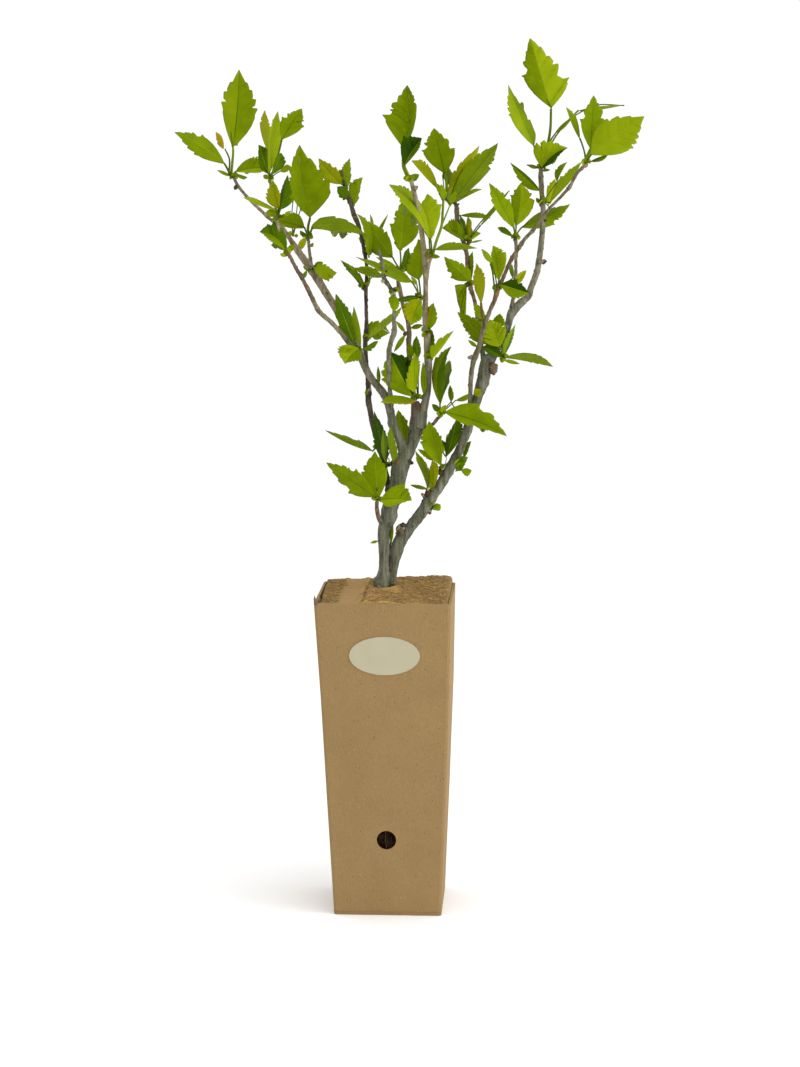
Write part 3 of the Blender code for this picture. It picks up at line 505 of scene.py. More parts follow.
def limb_relief(name, material, seed):
    rough = {OLD_BARK.name: 1.35, SMOOTH_BARK.name: 0.50, MID_BARK.name: 1.0}.get(material.name, 0.85)
    knots = [(sight(*at), reach * UNIT, rise * UNIT) for owner, at, reach, rise in KNOTS if owner == name]
    gap = 0.014 if material is OLD_BARK else 0.0115

    def relief(run, angle, here, out, radius):
        spot = here + out * radius
        grain = noise.fractal(Vector((spot.x * 420, spot.y * 420, spot.z * 75)) + Vector((seed, 0, 0)), 0.9, 2.0, 4)
        lumps = noise.noise(Vector((spot.x * 130, spot.y * 130, spot.z * 70)) + Vector((0, seed, 0)))
        r = radius * (1 + 0.055 * lumps * rough) + 0.00038 * grain * rough
        # Scars of old leaves: a low ring with a bump on alternate sides.
        cell = math.floor(run / gap + 0.37 * seed)
        jitter = 0.35 * math.sin(cell * 12.9 + seed)
        f = run / gap + 0.37 * seed - cell - 0.5 - jitter
        ring = math.exp(-((f * gap / 0.0011) ** 2))
        turn = cell * 2.4 + seed
        bud = max(0.0, math.cos(angle - turn)) ** 6
        r += ring * (0.00012 + 0.00055 * bud) * (1.15 - 0.4 * (radius > 0.004))
        for at, reach, rise in knots:
            d = (spot - at).length
            if d < reach * 1.6:
                r += rise * math.exp(-((d / reach) ** 2) * 2.2) * (0.75 + 0.5 * noise.noise(spot * 500))
        return r

    return relief


def base_flare(places, radii):
    """Thickens a limb's first stretch where it leaves its parent."""
    grown = list(radii)
    grown[0] *= 1.25
    return grown


heaps = {}
for index, (name, (material, *stations)) in enumerate(LIMBS.items()):
    places = [sight(*s[:3]) for s in stations]
    radii = [s[3] * UNIT / 2 for s in stations]
    old = material is OLD_BARK
    if name == "trunk":
        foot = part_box("trunk")[0].z
        places.insert(0, Vector((places[0].x, places[0].y, foot)))
        radii.insert(0, radii[0] * 1.10)
    elif name != "stem_right":
        radii = base_flare(places, radii)
    heap = heaps.setdefault("bark_old" if old else "bark_young", Heap())
    thick = max(radii)
    sides = 40 if old else (22 if thick > 0.003 else 16)
    tube(heap, places, radii, material, sides, 0.0009 if old else 0.0011, limb_relief(name, material, index * 1.7 + 0.3), True, WOOD_AND_SHADE_BANDS.get(name, ()))

for index, (foot, head, thick) in enumerate(STUBS):
    a, b = sight(*foot), sight(*head)
    material = (BROWN_BARK, YOUNG_BARK, DARK_BARK)[index % 3]
    tube(heaps["bark_young"], [a, a.lerp(b, 0.6), b], [thick * UNIT * 0.62, thick * UNIT * 0.5, thick * UNIT * 0.36], material, 12, 0.0008,
         lambda run, angle, here, out, radius: radius * (1 + 0.22 * noise.noise((here + out * radius) * 650)))

# The dried remains in the fork above the root: a wrinkled brown lump with a small dark knob. The tall thin dark piece
# at (390.4, 556) is painted shade: a dark sliver filling the shaded seam where the trunk meets the right stem.
CROTCH_AND_SEAM_SHADE = ((383.6, 591, -8, 6, 7.5, DARK_BARK), (379, 588, -8, 5, 8, MID_BARK), (390.4, 556, -1, 3, 34, DARK_BARK), (400.6, 529.5, -1, 8.5, 12.5, YOUNG_BARK), (398.2, 533, -5, 5, 7, DARK_BARK), (403, 524.8, -4, 5, 5.4, DARK_BARK), (401.2, 531, -6, 4.6, 6.5, BROWN_BARK))
for index, (across, down, deep, broad, tall, material) in enumerate(CROTCH_AND_SEAM_SHADE):
    blob(heaps["bark_old"], sight(across, down, deep), UP, tall * UNIT, broad * UNIT, material, index * 3.1, 20, 14, 0.55)

bark_old = heaps["bark_old"].piece("bark_old")
bark_young = heaps["bark_young"].piece("bark_young")

# ------------------------------------------------------------------ leaves
COLS = (0.0, 0.038, 0.28, 0.54, 0.78, 1.0)
UNDER = {"m": "l", "y": "l", "l": "l", "o": "y", "d": "m", "D": "d"}

def half_margin(kind, widest, rng):
    """A margin from base to tip as (along, out, tooth): a plain wedge, then rounded teeth between sharp notches."""
    if kind == "N":
        return [(x, math.sin(math.pi * x ** 0.85) ** 0.85, 0) for x in (0.05, 0.14, 0.26, 0.40, 0.54, 0.68, 0.82, 0.93)]
    widest = min(max(widest, 0.22), 0.74)

    def reach(x):
        if x <= widest:
            return math.sin(math.pi / 2 * x / widest) ** (0.80 if kind == "O" else 0.92)
        past = (x - widest) / (1 - widest)
        if kind == "L":
            if past < 0.10:
                return 1 - 0.36 * past / 0.10
            return 0.64 * math.cos(math.pi / 2 * (past - 0.10) / 0.90) ** 0.80 * (1 + 0.24 * math.sin(math.pi * min((past - 0.10) / 0.45, 1.0)))
        return math.cos(math.pi / 2 * past) ** (0.86 if kind == "O" else 1.18)

    count = {"O": 2, "R": 3, "L": 3}[kind] + (rng.random() < 0.5)
    first = widest * rng.uniform(0.72, 0.98)
    points = [(first * f, reach(first * f), 0) for f in (0.06, 0.25, 0.50, 0.75, 1.0)]
    last = first
    for k in range(count):
        x = first + (0.88 - first) * ((k + 1) / (count + 0.3)) ** 0.95 * rng.uniform(0.96, 1.04)
        if kind == "L" and k == 0:
            x = widest
        x = max(x, last + 0.05)
        cut = rng.uniform(0.08, 0.15) if kind == "O" else rng.uniform(0.13, 0.25)
        for f, swell in ((0.30, 0.96), (0.64, 1.01), (0.87, 1.07)):
            at = last + (x - last) * f
            points.append((at, reach(at) * swell, 0))
        points.append((x, reach(x) * 1.07, 1))
        points.append((x + 0.006, reach(x) * (1 - cut), 0))
        last = x + 0.006
    at = (last + 1) / 2
    points.append((at, reach(at) * 0.93, 0))
    return points

def blade(heap, node, row, rng, grown_from=None):
    """One leaf as it lies on the elevation; its depth comes from its tilt, fold, bow and waves."""
    bu, bv, tu, tv, bend, left, right, db, dt, tone, kinds = row
    run = math.hypot(tu - bu, tv - bv)
    ax, ay = (tu - bu) / run, (tv - bv) / run
    long = math.hypot(run, (dt - db) / 0.956)
    tilt = rng.choice((-1, 1))
    fold = rng.uniform(0.10, 0.30) * rng.choice((-1, 1))
    bow = rng.uniform(-0.09, 0.09) * long
    wave, phase = rng.uniform(0.03, 0.09), rng.uniform(0, 6.28)
    tones = tone if len(tone) == 2 else tone * 2
    rib_tone = VEIN_DARK if rng.random() < 0.45 else VEIN_PALE

    def rib(x):
        off, slope = bend * 4 * x * (1 - x), bend * 4 * (1 - 2 * x)
        tx, ty = ax * run - ay * slope, ay * run + ax * slope
        size = math.hypot(tx, ty)
        return bu + ax * run * x - ay * off, bv + ay * run * x + ax * off, -ty / size, tx / size

    foot_point = sight(bu, bv, node[2] + db)
    tip_point = sight(tu, tv, node[2] + dt)
    for side, (broad, widest), kind, hue in ((-1, left, kinds[0], tones[0]), (1, right, kinds[1], tones[1])):
        wanted = max(broad, (0.10 if kind == "N" else 0.23) * long)
        steep = min(math.sqrt((wanted / broad) ** 2 - 1), 2.0)
        lean = tilt * side * steep + fold
        rows, foot = [], 0.0
        for x, out, tooth in half_margin(kind, widest, rng):
            far = out * broad
            foot = min(max(foot + 0.004, x - 0.75 * far / run), 0.985)
            eu, ev, nu, nv = rib(x)
            eu, ev = eu + side * nu * far, ev + side * nv * far
            fu, fv = rib(foot)[:2]
            line = []
            for s in COLS:
                along = foot + (x - foot) * s
                deep = node[2] + db + (dt - db) * along + bow * 4 * along * (1 - along) + lean * far * s
                deep += wave * far * s * math.sin(7 * along + phase + side)
                deep += (0.9 if tooth else -0.6) * 0.035 * broad * math.sin(math.pi * s)
                line.append(sight(fu + (eu - fu) * s, fv + (ev - fv) * s, deep))
            rows.append(line)
        middle = rows[len(rows) // 2]
        away = (middle[-1] - middle[0]).cross(tip_point - foot_point).normalized()
        if away.dot(foot_point - EYE) < 0:
            away = -away
        width, count = len(COLS), len(rows)
        top = [foot_point] + [p for line in rows for p in line] + [tip_point]
        size = len(top)
        points = top + [p + away * 0.00024 for p in top]
        at = lambda i, j: 1 + i * width + j
        skin, kinds_of = [], []
        body = LEAF[hue]
        for j in range(width - 1):
            kind_top = rib_tone if j == 0 and long > 16 else body
            skin.append((0, at(0, j + 1), at(0, j))); kinds_of.append(kind_top)
            for i in range(count - 1):
                skin.append((at(i, j), at(i, j + 1), at(i + 1, j + 1), at(i + 1, j))); kinds_of.append(kind_top)
            skin.append((at(count - 1, j), at(count - 1, j + 1), size - 1)); kinds_of.append(kind_top)
        i = count // 2
        a, b, d = top[at(i, 2)], top[at(i, 3)], top[at(i + 1 if i + 1 < count else i - 1, 2)]
        flip = (b - a).cross(d - a).dot(away) > 0 if i + 1 < count else False
        faces = skin + [tuple(size + v for v in reversed(face)) for face in skin]
        mats = kinds_of + [VEIN_PALE if m is rib_tone else LEAF[UNDER[hue]] for m in kinds_of]
        outer = [0] + [at(i, width - 1) for i in range(count)] + [size - 1]
        inner = [0] + [at(i, 0) for i in range(count)] + [size - 1]
        rim = LEAF["o"] if hue == "y" else body
        for k in range(len(outer) - 1):
            faces.append((outer[k + 1], outer[k], size + outer[k], size + outer[k + 1])); mats.append(rim)
            faces.append((inner[k], inner[k + 1], size + inner[k + 1], size + inner[k])); mats.append(body)
        if flip:
            faces = [tuple(reversed(face)) for face in faces]
        heap.add(points, faces, mats)
    if grown_from is not None:
        petiole(stalks, sight(*grown_from), foot_point, rng, 0.0013)
    elif not any(abs(s[-1][0] - bu) < 3.6 and abs(s[-1][1] - bv) < 3.6 and abs(s[-1][2] - node[2] - db) < 30 for _, _, *s in SHOOTS):
        petiole(stalks, sight(*node), foot_point, rng, 0.0013 if long < 30 else 0.0019)


def petiole(heap, start, end, rng, thick=0.0012, material=None, sag=None):
    """A slim green stalk, a little thicker at both ends."""
    gap = (end - start).length
    if gap < 0.0012:
        return
    way = (end - start) / gap
    bend = way.orthogonal().normalized() * gap * (rng.uniform(-0.06, 0.06) if sag is None else sag)
    bend += Vector((0, 0, 1)) * gap * 0.04
    places = [start, start.lerp(end, 0.35) + bend, start.lerp(end, 0.7) + bend * 0.8, end + way * 0.0006]
    radii = [thick * 0.62, thick * 0.46, thick * 0.42, thick * 0.46]
    tube(heap, places, radii, material or STALK, 7, max(0.002, gap / 8))


# Sprays: CAD node: node on the limb (across, down, depth in mm), then leaves as (base across, down,
# tip across, down, sideways bend, left half and right half as (breadth, where it is widest), base depth,
# tip depth, tone, kinds of halves); two letters of tone are for the left and the right half
SPRAYS = {
    "foliage_left_tip": ((233.5, 178, 76), (
        (232.6, 147.6, 239.0, 69.3, 1.5, (15.5, 0.58), (19.0, 0.48), -3, -8, 'lm', 'RR'),
        (224.7, 164.0, 174.3, 132.2, 3.0, (10.5, 0.48), (9.5, 0.58), -6, -18, 'm', 'RL'),
        (223.6, 149.2, 215.6, 131.8, 0.0, (3.5, 0.44), (3.5, 0.62), 6, 12, 'o', 'LO'),
        (230, 176, 217, 170, 0, (1.75, 0.45), (1.75, 0.45), -2, -6, 'm', 'NN'),
        (234.7, 173.5, 247.4, 177.0, 0.5, (1.0, 0.45), (3.0, 0.81), -4, -8, 'm', 'OO'),
        (235.1, 172.0, 268.0, 168.5, -2.0, (11.0, 0.64), (5.0, 0.71), -6, -26, 'ml', 'RR'),
        (234, 150, 236, 118, 0, (12.0, 0.45), (12.0, 0.45), 12, 44, 'm', 'RR'),
    )),
    "foliage_left_upper": ((270, 179, -112), (
        (267.0, 150.0, 264.8, 110.0, -0.5, (5.5, 0.69), (4.5, 0.54), 6, 12, 'y', 'LR'),
        (268.7, 174.7, 278.1, 111.1, -0.5, (5.5, 0.75), (8.5, 0.58), -4, -8, 'l', 'LR'),
        (281.8, 139.5, 301.8, 108.6, -0.5, (11.0, 0.53), (11.5, 0.64), -12, -20, 'm', 'LL'),
        (268.5, 174.0, 258.4, 144.7, 0.0, (6.0, 0.31), (9.0, 0.82), 8, 16, 'd', 'RL'),
        (271.4, 174.7, 281.1, 152.7, 1.0, (3.5, 0.71), (7.5, 0.79), -12, -18, 'd', 'OL'),
        (279.8, 171.5, 291.4, 166.9, 0.0, (4.0, 0.66), (3.0, 0.47), -14, -22, 'm', 'OO'),
        (270, 165, 272, 140, 0, (7.0, 0.45), (7.0, 0.45), 12, 38, 'm', 'OO'),
    )),
    "foliage_left_fork": ((277.5, 218, -102), (
        (278.7, 209.1, 272.6, 180.2, -1.0, (9.0, 0.42), (5.0, 0.53), -6, -16, 'y', 'RO'),
        (280.0, 210.0, 287.5, 175.0, 0.5, (3.5, 0.5), (10.0, 0.35), -8, -14, 'd', 'OL'),
        (277.0, 210.2, 243.2, 197.4, 0.0, (2.0, 0.52), (3.5, 0.86), -8, -20, 'l', 'NR'),
        (277.0, 213.0, 265.7, 212.4, 0.0, (4.5, 0.62), (4.0, 0.46), -6, -10, 'm', 'OO'),
        (284, 216, 291, 211, 0, (2.0, 0.45), (2.0, 0.45), -8, -12, 'l', 'NN'),
        (281, 208, 283, 190, 0, (6.0, 0.45), (6.0, 0.45), 10, 30, 'm', 'OO'),
    )),
    "foliage_left_large": ((308, 236, -14), (
        (310.0, 217.8, 299.6, 144.7, -3.0, (14.5, 0.52), (27.5, 0.33), -8, -16, 'm', 'LR'),
        (311.5, 228.0, 367.8, 236.7, -7.5, (8.0, 0.05), (7.5, 0.45), -10, -30, 'm', 'RR'),
        (304.7, 228.0, 270.2, 218.6, 0.5, (4.5, 0.52), (11.5, 0.32), 6, 12, 'm', 'RR'),
        (306, 236, 300, 232, 0, (2.0, 0.45), (2.0, 0.45), 0, -4, 'd', 'OO'),
        (311, 230, 318, 220, 0, (2.0, 0.45), (2.0, 0.45), 0, 4, 'm', 'NN'),
        (304.0, 236.5, 300.0, 230.5, 0, (2.0, 0.45), (2.0, 0.45), 2, 6, 'd', 'OO'),
        (306, 214, 300, 186, 0, (11.0, 0.45), (11.0, 0.45), 12, 34, 'm', 'RR'),
    )),
    "foliage_left_low": ((287, 253, -85), (
        (286.0, 251.0, 259.7, 231.9, 4.5, (5.5, 0.57), (13.0, 0.75), -6, -14, 'md', 'RL'),
        (286, 256, 280, 254, 0, (2.0, 0.45), (2.0, 0.45), 0, -6, 'l', 'OO'),
        (287, 252, 295, 244, 0, (3.0, 0.45), (3.0, 0.45), 4, 14, 'm', 'OO'),
        (285, 250, 278, 240, 0, (4.5, 0.45), (4.5, 0.45), 8, 24, 'm', 'OO'),
    )),
    "foliage_left_inner": ((311, 270, 24), (
        (314.0, 270.0, 336.9, 272.4, 0.5, (8.5, 0.14), (9.0, 0.69), -8, -16, 'l', 'RL'),
        (314, 266, 323, 262, 0, (2.5, 0.45), (2.5, 0.45), 6, 14, 'd', 'OO'),
        (309, 269, 303, 266, 0, (2.5, 0.45), (2.5, 0.45), 8, 14, 'm', 'OO'),
    )),
    "foliage_left_crotch": ((358, 349, -20), (
        (354.4, 343.3, 335.8, 293.6, -0.5, (10.5, 0.39), (8.0, 0.57), 4, 8, 'd', 'LL'),
        (360.6, 346.7, 353.6, 306.1, -0.5, (4.5, 0.52), (3.0, 0.1), -8, -14, 'm', 'RN'),
        (360.0, 349.0, 345.0, 363.9, 1.5, (9.5, 0.09), (14.5, 0.63), -10, -16, 'ml', 'RR'),
        (363.0, 349.0, 378.3, 341.1, 0.5, (2.0, 0.76), (5.0, 0.43), -10, -20, 'd', 'OL'),
        (352, 350, 339, 349, 0, (4.5, 0.45), (4.5, 0.45), -10, -14, 'l', 'OO'),
        (354, 340, 346, 318, 0, (6.0, 0.45), (6.0, 0.45), 10, 32, 'm', 'OO'),
    )),
    "foliage_back_left_top": ((343.5, 182, 112), (
        (342.0, 184.4, 318.3, 158.3, -0.5, (9.5, 0.49), (7.5, 0.49), -6, -14, 'y', 'RL'),
        (347.5, 188.0, 349.8, 158.0, -0.5, (6.5, 0.62), (3.5, 0.46), 4, 10, 'm', 'RL'),
        (347.0, 187.5, 337.2, 186.7, -1.5, (11.5, 0.27), (2.5, 0.52), -8, -18, 'd', 'RO'),
        (354.0, 205.2, 362.8, 177.2, -1.5, (9.5, 0.69), (4.0, 0.3), 6, 14, 'm', 'LL'),
        (342, 182, 337, 170, 0, (4.5, 0.45), (4.5, 0.45), 10, 30, 'm', 'OO'),
    )),
    "foliage_back_left_upper": ((368, 254, 90), (
        (368.9, 257.0, 357.2, 213.9, 5.0, (4.0, 0.08), (6.0, 0.78), -6, -12, 'm', 'RL'),
        (373.5, 236.0, 370.0, 214.4, 0.0, (1.0, 0.45), (2.0, 0.67), 12, 18, 'oy', 'NO'),
        (372.2, 251.0, 388.3, 214.2, -0.5, (3.0, 0.64), (1.0, 0.45), 4, 8, 'm', 'NN'),
        (366, 246, 362, 232, 0, (4.5, 0.45), (4.5, 0.45), 12, 34, 'm', 'OO'),
    )),
    "foliage_back_left_mid": ((364, 286, 79), (
        (362.2, 288.9, 340.6, 260.0, 3.5, (4.0, 0.73), (4.0, 0.18), -4, -12, 'dm', 'LR'),
        (358, 276, 350, 265, 0, (2.5, 0.45), (2.5, 0.45), 6, 12, 'm', 'OO'),
        (377.0, 273.5, 355.0, 269.0, 0.5, (3.0, 0.66), (5.0, 0.39), 0, -4, 'm', 'OO'),
        (366, 287, 370, 276, 0, (2.5, 0.45), (2.5, 0.45), 8, 16, 'm', 'NN'),
    )),
    "foliage_back_left_low": ((367, 338, 60), (
        (367.8, 338.9, 402.5, 306.5, 0.0, (4.0, 0.29), (4.0, 0.8), -10, -20, 'l', 'RR'),
        (369.0, 338.5, 390.0, 333.0, -7.5, (8.5, 0.34), (11.0, 0.79), 8, 16, 'm', 'RO'),
        (372, 336, 382, 336, 0, (4.0, 0.45), (4.0, 0.45), 12, 26, 'm', 'OO'),
    )),
    "foliage_back_centre": ((400, 270, 79), (
        (400.0, 250.0, 404.0, 197.0, 1.0, (12.5, 0.48), (16.5, 0.42), -4, -8, 'm', 'LR'),
        (400.4, 272.2, 409.0, 247.7, 1.0, (3.5, 0.78), (7.0, 0.29), 10, 22, 'd', 'OR'),
        (392.8, 257.8, 366.0, 221.0, -0.5, (13.0, 0.4), (10.5, 0.53), 6, 12, 'm', 'RR'),
        (397, 268, 376, 257, 0, (2.5, 0.45), (2.5, 0.45), -8, -18, 'l', 'NN'),
        (385, 277, 353, 268, 0, (4.0, 0.45), (4.0, 0.45), -12, -18, 'm', 'OO'),
        (400, 256, 400, 228, 0, (8.5, 0.45), (8.5, 0.45), 14, 40, 'm', 'OO'),
    )),
    "foliage_centre_top": ((410, 180, -94), (
        (404.0, 149.5, 407.1, 85.1, 4.0, (25.5, 0.53), (7.0, 0.7), -4, -8, 'm', 'LL'),
        (404.3, 166.0, 421.8, 138.2, -1.0, (15.0, 0.95), (4.0, 0.66), -10, -18, 'Dd', 'LR'),
        (411.0, 179.0, 419.3, 174.3, 0.0, (3.5, 0.3), (4.0, 0.3), 4, 14, 'd', 'OO'),
        (409, 181, 403, 178, 0, (1.5, 0.45), (1.5, 0.45), 2, -2, 'm', 'NN'),
        (406, 160, 407, 132, 0, (7.5, 0.45), (7.5, 0.45), 10, 34, 'm', 'OO'),
    )),
    "foliage_top_back": ((446, 200, 125), (
        (444.9, 173.8, 433.8, 128.0, 0.0, (16.5, 0.6), (15.5, 0.48), 6, 10, 'm', 'LL'),
        (438.0, 189.0, 411.3, 160.5, 1.5, (2.5, 0.63), (8.0, 0.95), -6, -12, 'y', 'NR'),
        (450.0, 205.6, 498.0, 143.1, -0.5, (11.5, 0.54), (10.5, 0.68), -10, -24, 'm', 'RL'),
        (448.9, 202.0, 479.4, 145.6, -1.5, (8.5, 0.39), (5.5, 0.82), 14, 28, 'y', 'RL'),
        (455.0, 203.0, 481.9, 189.2, -1.5, (3.0, 0.7), (1.0, 0.45), 4, 8, 'l', 'ON'),
        (444, 196, 436, 183, 0, (3.0, 0.45), (3.0, 0.45), -8, -12, 'l', 'OO'),
        (446, 190, 450, 160, 0, (10.0, 0.45), (10.0, 0.45), 16, 46, 'm', 'RR'),
    )),
    "foliage_centre_upper": ((431, 257, -70), (
        (429.3, 239.4, 389.1, 184.4, 8.0, (7.5, 0.74), (7.5, 0.77), -10, -20, 'l', 'LR'),
        (430.4, 238.9, 427.1, 193.6, 0.5, (10.0, 0.61), (12.5, 0.89), 4, 8, 'l', 'RL'),
        (434.5, 250.0, 477.6, 248.3, -1.0, (6.0, 0.37), (2.0, 0.67), -8, -18, 'm', 'RN'),
        (432, 256, 440, 257, 0, (2.0, 0.45), (2.0, 0.45), -4, -10, 'm', 'NN'),
        (430, 244, 430, 218, 0, (7.5, 0.45), (7.5, 0.45), 14, 36, 'm', 'OO'),
    )),
    "foliage_centre_mid": ((420, 298, -46), (
        (418.8, 280.0, 418.2, 238.9, 1.0, (13.0, 0.11), (10.0, 0.75), 6, 10, 'm', 'RL'),
        (419.0, 297.0, 393.9, 300.6, 0.0, (3.5, 0.22), (3.0, 0.36), -6, -14, 'd', 'OO'),
        (421.6, 299.0, 411.0, 325.5, 1.5, (8.5, 0.65), (13.0, 0.45), -12, -22, 'my', 'RR'),
        (412.1, 282.2, 355.6, 256.7, 0.5, (5.0, 0.21), (6.0, 0.26), -14, -26, 'm', 'RR'),
        (417, 285, 412, 277, 0, (2.0, 0.45), (2.0, 0.45), -4, -8, 'l', 'NN'),
    )),
    "foliage_front": ((394, 292, -60), (
        (394.0, 295.0, 394.0, 312.0, 0.0, (5.5, 0.47), (5.5, 0.12), -4, -10, 'm', 'OO'),
        (394, 294, 389, 290, 0, (2.5, 0.45), (2.5, 0.45), 2, 8, 'm', 'OO'),
    )),
    "foliage_centre_spur": ((427, 332, -35), (
        (427.0, 331.0, 433.6, 302.8, 0.5, (5.5, 0.7), (6.5, 0.45), -6, -12, 'ym', 'OR'),
        (426, 332, 422, 337, 0, (2.5, 0.45), (2.5, 0.45), -4, -8, 'm', 'OO'),
    )),
    "foliage_centre_low": ((418, 398, -15), (
        (412.8, 396.7, 389.4, 351.1, -1.0, (18.0, 0.55), (16.0, 0.63), -8, -16, 'mD', 'RR'),
        (415.0, 393.0, 414.3, 352.2, 0.0, (9.0, 0.16), (5.5, 0.73), -14, -24, 'l', 'RR'),
        (416.0, 400.0, 380.6, 402.4, 0.5, (4.0, 0.05), (6.0, 0.74), -8, -18, 'ym', 'RR'),
        (418.0, 358.0, 416.6, 335.6, -0.5, (5.5, 0.28), (4.0, 0.35), 12, 20, 'd', 'OO'),
        (411.5, 358.0, 409.9, 342.2, 0.0, (4.0, 0.11), (2.5, 0.35), 2, 6, 'm', 'OO'),
        (424, 395, 423, 362, 0, (3.0, 0.45), (3.0, 0.45), -4, -8, 'm', 'NN'),
        (411, 386, 403, 366, 0, (7.0, 0.45), (7.0, 0.45), 16, 38, 'm', 'OO'),
    )),
    "foliage_centre_right": ((428, 358, -30), (
        (428, 357, 432, 330, 0, (4.5, 0.45), (4.5, 0.45), -2, 4, 'd', 'OO'),
        (432.1, 359.4, 453.8, 330.6, -0.5, (9.0, 0.3), (1.5, 0.66), -14, -22, 'l', 'LN'),
    )),
    "foliage_low_right": ((441, 414, -21), (
        (444.4, 412.2, 506.9, 436.1, -3.0, (17.0, 0.46), (7.0, 0.4), -10, -30, 'm', 'LL'),
        (451.0, 402.0, 450.0, 385.0, 0.0, (2.5, 0.52), (3.0, 0.37), 4, 8, 'm', 'OO'),
        (455.6, 400.5, 467.8, 393.9, 0.5, (1.0, 0.45), (4.5, 0.74), -2, -8, 'm', 'NO'),
        (440.0, 404.0, 451.4, 346.4, -8.0, (7.0, 0.75), (7.5, 0.3), 2, 6, 'md', 'LR'),
        (440, 412, 432, 404, 0, (3.0, 0.45), (3.0, 0.45), 0, 4, 'd', 'OO'),
        (441, 413, 446, 405, 0, (3.0, 0.45), (3.0, 0.45), -8, -10, 'l', 'OO'),
        (456, 411, 478, 421, 0, (7.5, 0.45), (7.5, 0.45), 8, 28, 'm', 'OO'),
    )),
    "foliage_inner_upper": ((468, 241, 99), (
        (464.0, 241.0, 442.2, 228.3, 1.5, (2.0, 0.52), (12.5, 0.77), -6, -14, 'm', 'OR'),
        (465.5, 240.5, 460.6, 216.1, 0.0, (3.0, 0.59), (3.5, 0.68), 4, 10, 'd', 'OO'),
        (468.0, 240.0, 467.5, 216.7, 0.0, (2.0, 0.34), (4.0, 0.81), -2, -6, 'y', 'OO'),
        (460.0, 215.6, 490.9, 218.3, -0.5, (4.0, 0.6), (1.5, 0.58), -8, -16, 'm', 'RN'),
        (470.5, 239.5, 481.1, 233.3, -0.5, (5.5, 0.34), (1.5, 0.17), 6, 14, 'l', 'OO'),
        (470.6, 242.8, 482.8, 240.0, 0.0, (1.0, 0.34), (1.0, 0.45), 0, 4, 'm', 'OO'),
        (480, 226, 509, 191, 0, (2.0, 0.45), (2.0, 0.45), 8, 20, 'l', 'NN'),
        (468, 238, 467, 226, 0, (4.0, 0.45), (4.0, 0.45), 12, 34, 'm', 'OO'),
    )),
    "foliage_inner_mid": ((470, 285, 70), (
        (471.0, 281.0, 444.2, 256.3, -0.5, (10.5, 0.48), (8.5, 0.28), -6, -16, 'm', 'LR'),
        (470.0, 283.0, 472.6, 251.7, -0.5, (4.5, 0.65), (2.5, 0.46), 6, 14, 'm', 'OO'),
        (466.7, 285.0, 454.7, 285.3, 0.0, (35.5, 0.05), (1.0, 0.45), -4, -8, 'm', 'OO'),
        (468, 282, 462, 266, 0, (5.0, 0.45), (5.0, 0.45), 12, 34, 'm', 'OO'),
    )),
    "foliage_right_top": ((541, 168, 82), (
        (551.3, 108.0, 529.8, 38.0, 0.0, (18.0, 0.54), (24.5, 0.33), -4, -10, 'ml', 'LL'),
        (534.0, 146.1, 508.4, 84.7, -1.0, (9.5, 0.55), (7.5, 0.16), 6, 14, 'lm', 'RR'),
        (542.2, 167.8, 567.6, 147.8, -3.0, (19.5, 0.32), (5.0, 0.34), -8, -18, 'lD', 'RR'),
        (538, 168, 527, 165, 0, (2.0, 0.45), (2.0, 0.45), -2, -6, 'm', 'NN'),
        (543, 170, 550, 170, 0, (1.5, 0.45), (1.5, 0.45), -2, -6, 'm', 'NN'),
        (556, 133, 572, 118, 0, (2.0, 0.45), (2.0, 0.45), 16, 18, 'm', 'NN'),
        (578, 111, 624, 105, 0, (1.7, 0.45), (1.7, 0.45), 20, 24, 'm', 'NN'),
        (545, 102, 540, 64, 0, (13.0, 0.45), (13.0, 0.45), 12, 34, 'm', 'RR'),
    )),
    "foliage_right_tip": ((586, 163, -118), (
        (590.6, 149.4, 593.7, 95.2, 0.0, (11.5, 0.55), (13.5, 0.55), 6, 10, 'm', 'LL'),
        (591.0, 155.0, 644.7, 116.1, -1.5, (18.5, 0.4), (20.0, 0.53), -8, -18, 'l', 'RR'),
        (590.0, 161.7, 608.7, 154.1, 0.5, (1.5, 0.86), (3.0, 0.58), -4, -8, 'd', 'NR'),
        (580.0, 139.0, 566.3, 107.2, 0.5, (2.0, 0.63), (5.0, 0.72), 10, 18, 'm', 'NL'),
        (596, 148, 608, 131, 0, (10.0, 0.45), (10.0, 0.45), 14, 36, 'm', 'RR'),
    )),
    "foliage_right_upper": ((515, 238, 63), (
        (513.9, 228.3, 489.2, 183.1, 0.5, (7.5, 0.55), (9.5, 0.54), -6, -12, 'm', 'RL'),
        (516.0, 226.0, 520.6, 183.1, 2.0, (10.0, 0.72), (14.0, 0.63), 6, 12, 'ml', 'LL'),
        (512.8, 237.0, 497.6, 227.4, 0.5, (2.5, 0.77), (3.5, 0.61), -4, -8, 'd', 'LO'),
        (521.7, 227.5, 570.2, 203.9, 1.0, (7.0, 0.44), (10.5, 0.57), 16, 28, 'm', 'RL'),
        (512, 226, 508, 204, 0, (8.0, 0.45), (8.0, 0.45), 16, 44, 'm', 'OO'),
    )),
    "foliage_right_side": ((542, 203, 70), (
        (540.0, 191.0, 510.0, 162.6, -0.5, (7.0, 0.35), (3.0, 0.71), -8, -16, 'md', 'RN'),
        (540, 203, 536, 198, 0, (2.0, 0.45), (2.0, 0.45), -2, -6, 'd', 'NN'),
        (548.0, 205.6, 555.0, 178.9, 0.0, (5.5, 0.7), (5.0, 0.55), 6, 10, 'y', 'LO'),
        (550.0, 202.8, 581.7, 161.7, -1.0, (6.5, 0.54), (4.0, 0.68), -6, -12, 'l', 'LR'),
        (557.0, 182.0, 567.0, 162.2, -3.5, (3.5, 0.48), (3.0, 0.54), 8, 12, 'm', 'LO'),
    )),
    "foliage_right_mid": ((497, 289, -59), (
